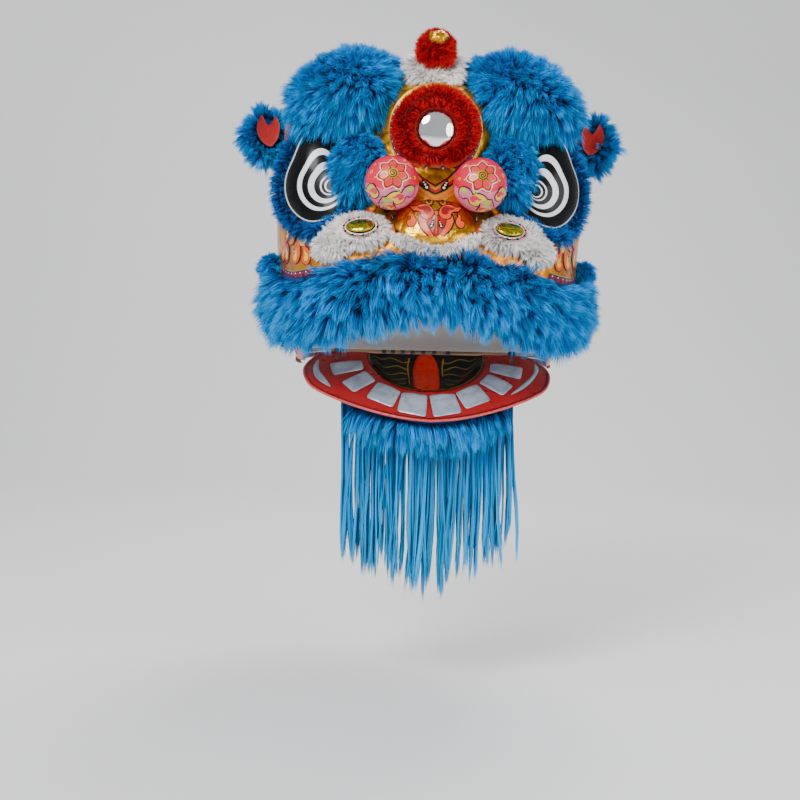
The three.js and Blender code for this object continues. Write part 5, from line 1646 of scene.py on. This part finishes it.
def nose_mesh():
    def place(angle, reach, bulge):
        point = np.where(np.sin(angle) < 0, 1 + 0.12 * np.abs(np.sin(angle)) ** 6, 1)
        corner = nose_corner(angle)
        u = np.cos(angle) * reach * NOSE["half_width"] * corner
        v = np.sin(angle) * reach * NOSE["half_height"] * point * corner
        return on_seat(NOSE_SEAT, u, v, np.where(bulge >= 0, nose_height(u, reach), 1.0))
    return pebble(100, 44, place)


def on_nose(u, v, height):
    angle = np.arctan2(v / NOSE["half_height"], u / NOSE["half_width"])
    reach = np.hypot(u / NOSE["half_width"], v / NOSE["half_height"]) / nose_corner(angle)
    return on_seat(NOSE_SEAT, u, v, nose_height(u, reach) + height + 0.3)


def nose_shapes():
    leaf = smooth_closed([(0, -41), (12, -28), (25, -14), (31, 2), (25, 15), (12, 12), (0, 18),
                          (-12, 12), (-25, 15), (-31, 2), (-25, -14), (-12, -28)], 6)
    inner = smooth_closed([(0, -30), (8, -19), (15, -8), (17, 2), (10, 5), (0, 9),
                           (-10, 5), (-17, 2), (-15, -8), (-8, -19)], 6)
    shapes = outlined(leaf, "orange", 1, 2.6) + outlined(inner, "red", 3, 1.6)
    for side in (1, -1):
        shapes += outlined(moved(FLAME, 5, 17, -12, 36, side), "orange", 3, 1.8)
        shapes.append((moved(FLAME, 9, 20, -12, 22, side), "deep_red", 5))
        shapes += outlined(disc(12 * side, 36, 6), "gold", 3, 1.6)
        shapes.append((disc(12 * side, 36, 2.6, steps=10), "deep_red", 5))
        shapes += dotted_drop(8, -8, 20, 17, 5, side)
        shapes += outlined(moved(FLAME, 42, -10, 66, 22, side), "orange", 1, 1.4)
    shapes.append((ribbon([(0, -36), (0, -20), (0, 0), (0, 14)], [1, 2.2, 2.2, 1]), "gold", 6))
    return shapes


def trim_path(across):
    v = -NOSE["half_height"] - 11 + 30 * np.abs(across) ** 1.6
    return across * 80, v


def nose_trim_skin():
    def path(t):
        u, v = trim_path(2 * t - 1)
        across = (2 * t - 1)
        side = unit(np.stack([across * 0.5, np.zeros_like(across), np.ones_like(across)], axis=-1))
        return on_seat(NOSE_SEAT, u, v, 11.0), side, np.broadcast_to(NOSE_SEAT.out, side.shape)

    def section(t, angle):
        return 6 * np.sin(angle), 8 * np.cos(angle)
    return sausage(10, 60, path, section)


def edge_dashes():
    shapes = []
    for k in range(25):
        across = -0.96 + 1.92 * k / 24
        u, v = trim_path(across)
        tilt = math.degrees(math.atan2(48 * abs(across) ** 0.6 * np.sign(across), 80))
        dash = np.array([(-2.6, 0), (2.6, 0), (2.0, 6), (-2.0, 6)])
        shapes.append((moved(dash, u, v + 7, tilt), "black" if k % 2 else "pink", 1))
    return shapes


def on_trim_edge(u, v, height):
    return on_seat(NOSE_SEAT, u, v, height + 15)


piece("nose_panel", "head", new_mesh("nose_panel", *nose_mesh()), [GOLD_FOIL], ["nose"])
ornament("nose_paint", "head", nose_shapes(), on_nose)
ornament("nose_trim_dashes", "head", edge_dashes(), on_trim_edge)
fur_piece("nose_trim_fur", "head", ["nose_trim"], nose_trim_skin(), WHITE_FUR, blades=7000, length=13,
          width=1.4, comb=falling(0.6), droop=0.2, lock_size=10, fray=0.36, seed=81)

# %% Nostrils and white pads
PADS = (
    # name, node, x, z, half width, half height, lift, blades
    ("nostril_pad_fur", "nostril_pad", 88, 203, 64, 36, 20, 15000),
    ("cheek_pad_fur", "cheek_fur", 134, 174, 34, 24, 17, 5600),
)
NOSTRIL = {"x": 76, "z": 209, "u": 25, "v": 13, "lift": 26}


def pad_seat(x, z, side):
    return Seat(x * side, -60, z, (0.35 * side, -1, 0.15))


def pad_skin(seat, half_width, half_height, lift):
    def place(angle, reach, bulge):
        height = np.where(bulge >= 0, 3 + (lift - 8) * np.maximum(bulge, 0) ** 0.6, 1)
        return on_seat(seat, np.cos(angle) * reach * half_width * 0.84,
                       np.sin(angle) * reach * half_height * 0.8, height)
    return pebble(40, 14, place)


def nostril_mesh(seat):
    def place(angle, reach, bulge):
        height = NOSTRIL["lift"] + np.where(bulge >= 0, 5 * bulge, -16)
        return on_seat(seat, np.cos(angle) * reach * NOSTRIL["u"],
                       np.sin(angle) * reach * NOSTRIL["v"], height)
    return pebble(64, 20, place)


def nostril_shapes():
    shapes = [(disc(0, 0, 32, 0.62, 48), "black", 0), (disc(0, 0, 30, 0.6, 48), "white", 1)]
    for k in range(20):
        angle = 2 * math.pi * k / 20
        paint = "pink" if k % 2 else "black"
        shapes.append((disc(31 * math.cos(angle), 19 * math.sin(angle), 2.6, steps=8), paint, 2))
    shapes.append((disc(0, 0, 27, 0.56, 48), "black", 2))
    return shapes


for side_name, side in SIDES:
    for label, node, x, z, half_width, half_height, lift, blades in PADS:
        seat = pad_seat(x, z, side)

        def under_button(root, normal, seat=seat, label=label):
            if label != "nostril_pad_fur":
                return normal[:, 1] > 0.5
            u, v = (root - seat.middle) @ seat.right, (root - seat.middle) @ seat.up
            return (np.hypot(u / 31, v / 19) < 1) | (normal[:, 1] > 0.5)

        fur_piece(f"{label}_{side_name}", "head", [f"{node}_{side_name}"],
                  pad_skin(seat, half_width, half_height, lift), WHITE_FUR, blades=blades, length=17,
                  width=1.5, comb=away_from(seat, 0.6), droop=0.2, lock_size=12, fray=0.35, seed=91 + side,
                  bare=under_button)
    seat = pad_seat(NOSTRIL["x"], NOSTRIL["z"], side)
    button = new_mesh("nostril_button", *nostril_mesh(seat))
    piece(f"nostril_button_{side_name}", "head", button, [GREEN_FOIL], [f"nostril_{side_name}"])
    ornament(f"nostril_edge_{side_name}", "head", nostril_shapes(),
             lambda u, v, height, seat=seat: on_seat(seat, u, v, height + 20))

# %% [markdown]
# ## Painted balls
# Two balls nod on springs beside the bridge of the nose. The upper half of each is pink with a red
# flower, and the lower half is paler, with flames outlined in black and green spots.

# %% Balls on springs
BALL = {"x": 79, "y": -214, "z": 312, "radius": 48.5}
SPRING = {"coil": 7.0, "wire": 1.5, "turns": 7, "steps": 240, "around": 8}
PETALS = 7


def ball_shapes(side):
    lower = smooth_closed([(-62, -6), (-34, -14), (-12, -8), (8, -15), (32, -10), (62, -4), (66, -34),
                           (36, -66), (0, -74), (-36, -66), (-66, -34)], 6)
    bloom = [(14 + 24 * (1 + 0.16 * math.cos(PETALS * k * math.pi / 35)), k * math.pi / 35) for k in range(70)]
    flower = np.array([((reach - 12) * math.sin(turn), 15 + (reach - 12) * math.cos(turn))
                       for reach, turn in bloom])
    shapes = [(lower, "mauve", 0)] + outlined(flower, "red", 1, 1.6, "white")
    for k in range(PETALS):
        turn = 360 * k / PETALS
        away = np.array([-math.sin(math.radians(turn)), math.cos(math.radians(turn))]) * 16.5
        shapes += outlined(moved(LEAF, away[0], 15 + away[1], turn, 15), "pink", 3, 1.0, "gold")
        tip = away * 2.05
        shapes.append((disc(tip[0], 15 + tip[1], 2.0, steps=8), "yellow", 2))
    angle = np.linspace(0, 4.4 * math.pi, 44)
    spiral = np.stack([np.cos(angle), np.sin(angle)], axis=-1) * (0.8 + 8.2 * angle / angle[-1])[:, None]
    shapes.append((disc(0, 15, 9.6, steps=24), "gold", 5))
    shapes.append((ribbon(spiral + (0, 15), 1.5), "black", 6))
    for k, (x, y, turn, size) in enumerate(((-40, -8, -70, 34), (-22, -26, -35, 36), (6, -30, -80, 34),
                                            (28, -18, -30, 34), (40, -6, -85, 30), (-6, -52, -20, 30))):
        shapes += outlined(moved(FLAME, x, y, turn, size), "yellow" if k % 2 else "mauve", 1, 2.4)
        shapes.append((moved(FLAME, x + 1, y + 1, turn, size * 0.5), "pink" if k % 2 else "green", 3))
    for x, y, size in ((44, 20, 4), (-46, 10, 3.4), (38, 36, 3), (-34, 38, 3.6), (-12, -16, 3),
                       (20, -44, 3.6), (-34, -46, 3), (50, -26, 3), (0, 50, 2.6)):
        shapes.append((disc(x, y, size), "green" if y < 0 else "yellow", 1))
        shapes.append((disc(x, y, size * 0.45, steps=8), "black" if y < 0 else "red", 2))
    return on_side(shapes, side)


def spring_mesh(start, end):
    turns, steps, around = SPRING["turns"], SPRING["steps"], SPRING["around"]
    t = np.linspace(0, 1, steps)
    angle = t * turns * 2 * np.pi
    spine = np.stack([start[0] + SPRING["coil"] * np.cos(angle), start[1] + (end[1] - start[1]) * t,
                      start[2] + SPRING["coil"] * np.sin(angle)], axis=-1)
    outward = np.stack([np.cos(angle), np.zeros(steps), np.sin(angle)], axis=-1)
    turn = np.arange(around) * 2 * np.pi / around
    rings = (spine[:, None] + SPRING["wire"] * (outward[:, None] * np.cos(turn)[None, :, None]
                                                + np.array([0, 1.0, 0]) * np.sin(turn)[None, :, None]))
    return turned_outward(rings.reshape(-1, 3), [grid_faces(steps, around)])


STEEL, _, _ = new_finish("spring_steel", Metallic=1.0, Roughness=0.35, Base_Color=(0.45, 0.44, 0.42, 1))
for side_name, side in SIDES:
    middle = np.array([BALL["x"] * side, BALL["y"], BALL["z"]], dtype=float)

    def on_ball(u, v, height, middle=middle):
        far = np.hypot(u, v) / BALL["radius"]
        turn = np.arctan2(v, u)
        way = (np.outer(np.cos(far), [0, -1, 0]) + np.outer(np.sin(far) * np.cos(turn), [1, 0, 0])
               + np.outer(np.sin(far) * np.sin(turn), [0, 0, 1]))
        return middle + way * (BALL["radius"] + height)[:, None]

    ball = new_mesh("ball", *ball_skin(middle, BALL["radius"], 72, 40))
    piece(f"ball_{side_name}", "head", ball, [PAINTS["pink"]], [f"nose_ball_{side_name}"])
    ornament(f"ball_paint_{side_name}", "head", ball_shapes(side), on_ball, flip=side < 0)
    seat_end = skull_hit(middle, (0, -1, 0))[0]
    spring = new_mesh("spring", *spring_mesh(middle + (0, 46, 0), seat_end + (0, 3, 0)))
    piece(f"ball_spring_{side_name}", "head", spring, [STEEL])

# %% [markdown]
# ## Lower jaw
# The jaw is a paper tray on the same bar. It is drawn flat, with x across and the depth running
# forward, and then tipped down by its resting angle. Its floor dips behind the teeth.

# %% Jaw
JAW_ANGLE = math.radians(26)
JAW_OUTLINE = np.array([(194, 14), (219, 40), (235, 80), (227, 128), (203, 162), (147, 204), (92, 234),
                        (44, 251), (0, 258)], dtype=float)
JAW_MIDDLE = 105
JAW_THICKNESS = 3
JAW_DIP = 26
FLOOR_HALF_WIDTH, FLOOR_REACH = 122, 157
LOOP_X = 168


def in_jaw(x, depth, height):
    x, depth, height = np.broadcast_arrays(np.asarray(x, dtype=float), depth, height)
    return np.stack([x, -depth * math.cos(JAW_ANGLE) - height * math.sin(JAW_ANGLE),
                     -depth * math.sin(JAW_ANGLE) + height * math.cos(JAW_ANGLE)], axis=-1)


def smooth_open(points, steps=8):
    ends = np.concatenate([points[:1], points, points[-1:]])
    curve = smooth_closed(ends, steps)
    return np.concatenate([curve[steps:steps * len(points)], points[-1:]])


def smoothstep(value, low, high):
    t = np.clip((value - low) / (high - low), 0, 1)
    return t * t * (3 - 2 * t)


JAW_SIDE = smooth_open(JAW_OUTLINE)
JAW_TURNS = np.arctan2(JAW_SIDE[:, 1] - JAW_MIDDLE, JAW_SIDE[:, 0])
JAW_REACHES = np.hypot(JAW_SIDE[:, 1] - JAW_MIDDLE, JAW_SIDE[:, 0])


def jaw_edge(angle):
    turn = np.arctan2(np.sin(angle), np.abs(np.cos(angle)))
    rear = (JAW_OUTLINE[0, 1] - JAW_MIDDLE) / np.minimum(np.sin(turn), -1e-3)
    return np.where(turn <= JAW_TURNS[0], rear, np.interp(turn, JAW_TURNS, JAW_REACHES))


def jaw_height(x, depth):
    level = np.hypot(x / FLOOR_HALF_WIDTH, depth / FLOOR_REACH)
    return -JAW_DIP * smoothstep(1 - level, 0, 0.3) * smoothstep(depth, 0, 70)


def jaw_mesh():
    def place(angle, reach, bulge):
        edge = jaw_edge(angle) * reach ** 1.15
        x, depth = np.cos(angle) * edge, JAW_MIDDLE + np.sin(angle) * edge
        below = JAW_THICKNESS * np.clip(0.5 - bulge * 20, 0, 1)
        return in_jaw(x, depth, jaw_height(x, depth) - below)
    return pebble(150, 48, place)


def jaw_rim():
    """A rolled edge round the front and the sides of the tray."""
    def path(t):
        angle = math.radians(-30) + math.radians(240) * t
        edge = jaw_edge(angle) - 2
        x, depth = np.cos(angle) * edge, JAW_MIDDLE + np.sin(angle) * edge
        out = in_jaw(np.cos(angle), np.sin(angle), 0 * angle)
        return in_jaw(x, depth, -1.2), np.broadcast_to(in_jaw(0, 0, 1), out.shape), out

    def section(t, angle):
        return 2.5 * np.sin(angle), 2.2 * np.cos(angle)
    return sausage(12, 220, path, section)


def jaw_loop(x):
    def place(angle, tube):
        radius = 12.4 + 2.6 * np.cos(tube)
        return np.stack([x + 8 * np.sin(tube), radius * np.cos(angle), radius * np.sin(angle)], axis=-1)
    return ring(40, 10, place)


def jaw_strap(x):
    outline = [(-8, 10), (8, 10), (8, 44), (0, 49), (-8, 44)]
    flat = np.array(outline, dtype=float) + (x, 0)
    top, bottom = in_jaw(flat[:, 0], flat[:, 1], 1.2), in_jaw(flat[:, 0], flat[:, 1], -3.6)
    k = np.arange(5)
    rim = np.stack([k, (k + 1) % 5, (k + 1) % 5 + 5, k + 5], axis=-1)
    fan = np.array([[0, i, i + 1] for i in range(1, 4)])
    return turned_outward(np.concatenate([top, bottom]), [rim, np.concatenate([fan, fan[:, ::-1] + 5])])


def on_jaw(u, v, height):
    return in_jaw(u, v, jaw_height(u, v) + height)


def rounded(corners, radius):
    """A polygon with its corners rounded by short curves."""
    corners = np.asarray(corners, dtype=float)
    points = []
    for before, corner, after in zip(np.roll(corners, 1, 0), corners, np.roll(corners, -1, 0)):
        one = corner + unit(before - corner) * radius
        other = corner + unit(after - corner) * radius
        t = np.linspace(0, 1, 6)[:, None]
        points.append(one * (1 - t) ** 2 + corner * 2 * t * (1 - t) + other * t ** 2)
    return np.concatenate(points)


TEETH = (
    ((3, 171), (48, 164), (58, 227), (8, 244)),
    ((52, 160), (92, 128), (114, 182), (68, 214)),
    ((98, 122), (118, 88), (160, 130), (138, 164)),
    ((121, 80), (124, 50), (184, 62), (176, 104)),
)
# The two crescents are painted highlights: silver plates with a deep red line round them, where the curled corners of
# the lip shine.
HIGHLIGHT_CRESCENTS = (
    smooth_closed([(-206, 50), (-216, 80), (-208, 119), (-182, 147), (-191, 119), (-204, 86)], 6),
    smooth_closed([(209, 47), (214, 74), (188, 128), (155, 161), (176, 128), (203, 84)], 6),
)


def tooth_mesh(outline, number):
    """A plate of silver paper, padded a little and creased."""
    flat, faces = filled(outline)
    gap = np.linalg.norm(flat[:, None] - outline[None, :], axis=-1).min(axis=1)
    crown = 1.6 * np.clip(gap / 9, 0, 1) ** 0.5
    crease = 0.35 * np.sin(flat[:, 0] * 0.35 + number) * np.cos(flat[:, 1] * 0.3 - number)
    crease = crease * np.clip(gap / 6, 0, 1)
    top = on_jaw(flat[:, 0], flat[:, 1], 1.1 + crown + crease)
    edge = on_jaw(outline[:, 0], outline[:, 1], np.full(len(outline), 0.3))
    count, size = len(flat), len(outline)
    k = np.arange(size)
    skirt = np.stack([k, (k + 1) % size, (k + 1) % size + count, k + count], axis=-1)
    return new_mesh("tooth", np.concatenate([top, edge]), [faces[:, ::-1], skirt])


def jaw_shapes():
    floor = smooth_open(np.array([(-112, 20), (-110, 49), (-84, 107), (-44, 148), (2, 155), (50, 144),
                                  (92, 104), (111, 52), (113, 20)], dtype=float), 8)
    shapes = [(floor, "black", 1)]
    for k, depth in enumerate((30, 44, 58, 72, 86, 100, 114, 128)):
        end = np.interp(depth, [20, 49, 107, 148], [108, 104, 78, 38]) - 5
        for side in (1, -1):
            x = np.linspace(30, end, 22)
            curl = depth + 3.2 * np.sin((x - 30) / 7.5 + 1.3 * k) - 10 * ((x - 30) / 74) ** 2
            width = np.linspace(2.4, 0.8, 22)
            shapes.append((ribbon(np.stack([x * side, curl], axis=-1), width), "olive", 2))
    shapes.append((ribbon(floor * 0.975 + (0, 1), 1.6), "olive", 2))
    surround = rounded([(-36, 22), (36, 22), (36, 142), (-36, 142)], 30)
    shapes.append((surround, "black", 3))
    line = np.array([(33, 24), (33, 118), (24, 136), (0, 142), (-24, 136), (-33, 118), (-33, 24)],
                    dtype=float)
    curve = smooth_open(line, 8)
    beat = np.cos(np.arange(len(curve)) * 1.3)[:, None] * 1.5
    shapes.append((ribbon(curve + beat * (1, 0), 2.2), "gold", 4))
    # Deep red lines round the painted highlights at the corners of the lip.
    for highlight_crescent in HIGHLIGHT_CRESCENTS:
        shapes.append((wider(highlight_crescent, 2.0), "deep_red", 1))
    for corners in TEETH:
        for side in (1, -1):
            outline = rounded(np.array(corners) * (side, 1), 6)
            shapes.append((wider(outline, 2.6), "deep_red", 1))
    rim = np.stack([np.cos(np.radians(np.linspace(-25, 205, 100))) * 1.0,
                    np.sin(np.radians(np.linspace(-25, 205, 100)))], axis=-1)
    reach = jaw_edge(np.radians(np.linspace(-25, 205, 100)))
    shapes.append((ribbon(rim * (reach - 7)[:, None] + (0, JAW_MIDDLE), 2.2), "black", 1))
    return shapes


piece("jaw_tray", "jaw", new_mesh("jaw_tray", *jaw_mesh()), [PAINTS["red"]], ["jaw"])
rolled_edge = new_mesh("jaw_rolled_edge", *jaw_rim())
piece("jaw_rolled_edge", "jaw", rolled_edge, [PAINTS["worn"]])
for number, x in enumerate((-LOOP_X, LOOP_X)):
    for label, form, finish in (("loop", jaw_loop(x), LASHING), ("strap", jaw_strap(x), HOOP_TAPE)):
        mesh = new_mesh(f"jaw_{label}", *form)
        piece(f"jaw_{label}_{number + 1}", "jaw", mesh, [finish])
ornament("jaw_paint", "jaw", jaw_shapes(), on_jaw, flip=True)
tooth_number = 0
for corners in TEETH:
    for side_name, side in SIDES:
        tooth_number += 1
        outline = wider(rounded(np.array(corners)[::side] * (side, 1), 6), 1.2)
        piece(f"tooth_plate_{tooth_number}", "jaw", tooth_mesh(outline, tooth_number), [SILVER_PAPER],
              [f"tooth_{tooth_number}"])
# Silver plates for the painted highlights at the corners of the lip.
for number, highlight_crescent in enumerate(HIGHLIGHT_CRESCENTS):
    outline = highlight_crescent if signed_area(highlight_crescent) > 0 else highlight_crescent[::-1]
    plate = tooth_mesh(outline, number + 20)
    piece(f"jaw_highlight_crescent_{number + 1}", "jaw", plate, [SILVER_PAPER])

# %% Tongue
TONGUE = {"half": 26, "near": 17, "far": 134, "rise": 9}


def tongue_mesh():
    middle = (TONGUE["near"] + TONGUE["far"]) / 2
    half = (TONGUE["far"] - TONGUE["near"]) / 2

    def place(angle, reach, bulge):
        across = np.sign(np.cos(angle)) * np.abs(np.cos(angle)) ** 0.75
        along = np.sign(np.sin(angle)) * np.abs(np.sin(angle)) ** 0.75
        x, depth = TONGUE["half"] * across * reach, middle + half * along * reach
        groove = 2.4 * np.exp(-(x / 4) ** 2) * (1 - reach)
        top = TONGUE["rise"] * np.maximum(bulge, 0) ** 0.6 - groove
        return in_jaw(x, depth, jaw_height(x, depth) + 1.2 + np.where(bulge >= 0, top, -0.6))
    return pebble(80, 40, place)


piece("tongue_form", "jaw", new_mesh("tongue_form", *tongue_mesh()), [PAINTS["tongue"]], ["tongue"])
print("jaw with", tooth_number, "teeth and a tongue")

# %% [markdown]
# ## Fluff and beard
# Short fluff follows the lower edge of the jaw, and a curtain of long straight hair hangs behind it.
# The hair is made of narrow strips that start side by side, wave a little, and gather in locks.

# %% Fluff
def under_jaw(x, inset):
    edge = 252 - 62 * (np.abs(x) / 150) ** 1.7
    return in_jaw(x, edge - inset, -JAW_THICKNESS)


def fluff_skin():
    def path(t):
        spot = under_jaw((2 * t - 1) * 142, 26) + (0, 4, -18)
        return spot, same_way(spot, 0, 0, 1), same_way(spot, 0, -1, 0)

    def section(t, angle):
        return 15 * np.sin(angle), 11 * np.cos(angle)
    return sausage(14, 60, path, section)


fur_piece("jaw_fluff_fur", "jaw", ["jaw_fluff"], fluff_skin(), BLUE_FUR, blades=20000, length=38,
          width=2.0, comb=falling(1.2), droop=0.5, lock_size=22, fray=0.3, seed=101,
          bare=lambda root, normal: normal[:, 2] > 0.05)

# %% Beard
BEARD = {"half": 160, "length": 338, "strands": 7000, "width": 3.0, "inset": 52, "locks": 130}
STRAND_STEPS = 6


def beard_mesh():
    rng = np.random.default_rng(111)
    count = BEARD["strands"]
    x = (rng.random(count) * 2 - 1) * BEARD["half"]
    spread_out = np.stack([0 * x, rng.normal(size=count) * 7, -26 - 8 * rng.random(count)], axis=-1)
    root = under_jaw(x, BEARD["inset"]) + spread_out
    lock = np.sort((rng.random(BEARD["locks"]) * 2 - 1) * BEARD["half"])
    near = np.abs(x[:, None] - lock[None, :]).argmin(axis=1)
    lock_length = BEARD["length"] * (0.82 + 0.2 * rng.random(BEARD["locks"])) - np.abs(lock) * 0.2
    length = lock_length[near] * (0.86 + 0.14 * rng.random(count))
    t = np.linspace(0, 1, STRAND_STEPS + 1)[None, :]
    drift = rng.normal(size=(BEARD["locks"], 2)) * (10, 9)
    phase, beat = rng.random(BEARD["locks"])[near] * 6, 2.5 + 2 * rng.random(BEARD["locks"])[near]
    gather = 0.2 * t ** 1.6
    px = x[:, None] * (1 - gather) + (lock[near][:, None] + rng.normal(size=count)[:, None] * 5) * gather
    px = px + drift[near][:, :1] * t + 3.0 * np.sin(phase[:, None] + beat[:, None] * t * 2) * t
    py = root[:, 1:2] + drift[near][:, 1:] * t ** 2 - 10 * np.sin(t * 2.6)
    py = py + rng.normal(size=count)[:, None] * 3 * t
    pz = root[:, 2:] - length[:, None] * t
    line = np.stack([px, np.broadcast_to(py, px.shape), np.broadcast_to(pz, px.shape)], axis=-1)
    turn = rng.normal(size=count)[:, None] * 0.7
    side = np.stack([np.cos(turn), np.sin(turn), 0 * turn], axis=-1)
    half = BEARD["width"] / 2 * (1 - t[:, :-1] ** 3 * 0.8)
    tone = 0.5 + 0.2 * rng.normal(size=BEARD["locks"])[near] + 0.16 * rng.normal(size=count)
    shade = strip_shade(np.clip(tone, 0.02, 0.98), t[0])
    points = strip_points(line, side, half[..., None])
    maps = {"shade": shade, "OFBake": shade}
    return new_mesh("beard_hair", points, strip_faces(count, STRAND_STEPS), maps)


def beard_band():
    def path(t):
        spot = under_jaw((2 * t - 1) * 148, BEARD["inset"]) + (0, 0, -30)
        return spot, same_way(spot, 0, 0, 1), same_way(spot, 0, -1, 0)

    def section(t, angle):
        return 13 * np.sin(angle), 6 * np.cos(angle)
    return sausage(10, 50, path, section)


beard = beard_mesh()
beard.uv_layers["shade"].active_render = True
piece("beard_hair", "jaw", beard, [BLUE_HAIR], ["beard"])
piece("beard_band", "jaw", new_mesh("beard_band", *beard_band()), [LASHING])
print("beard with", BEARD["strands"], "strands")
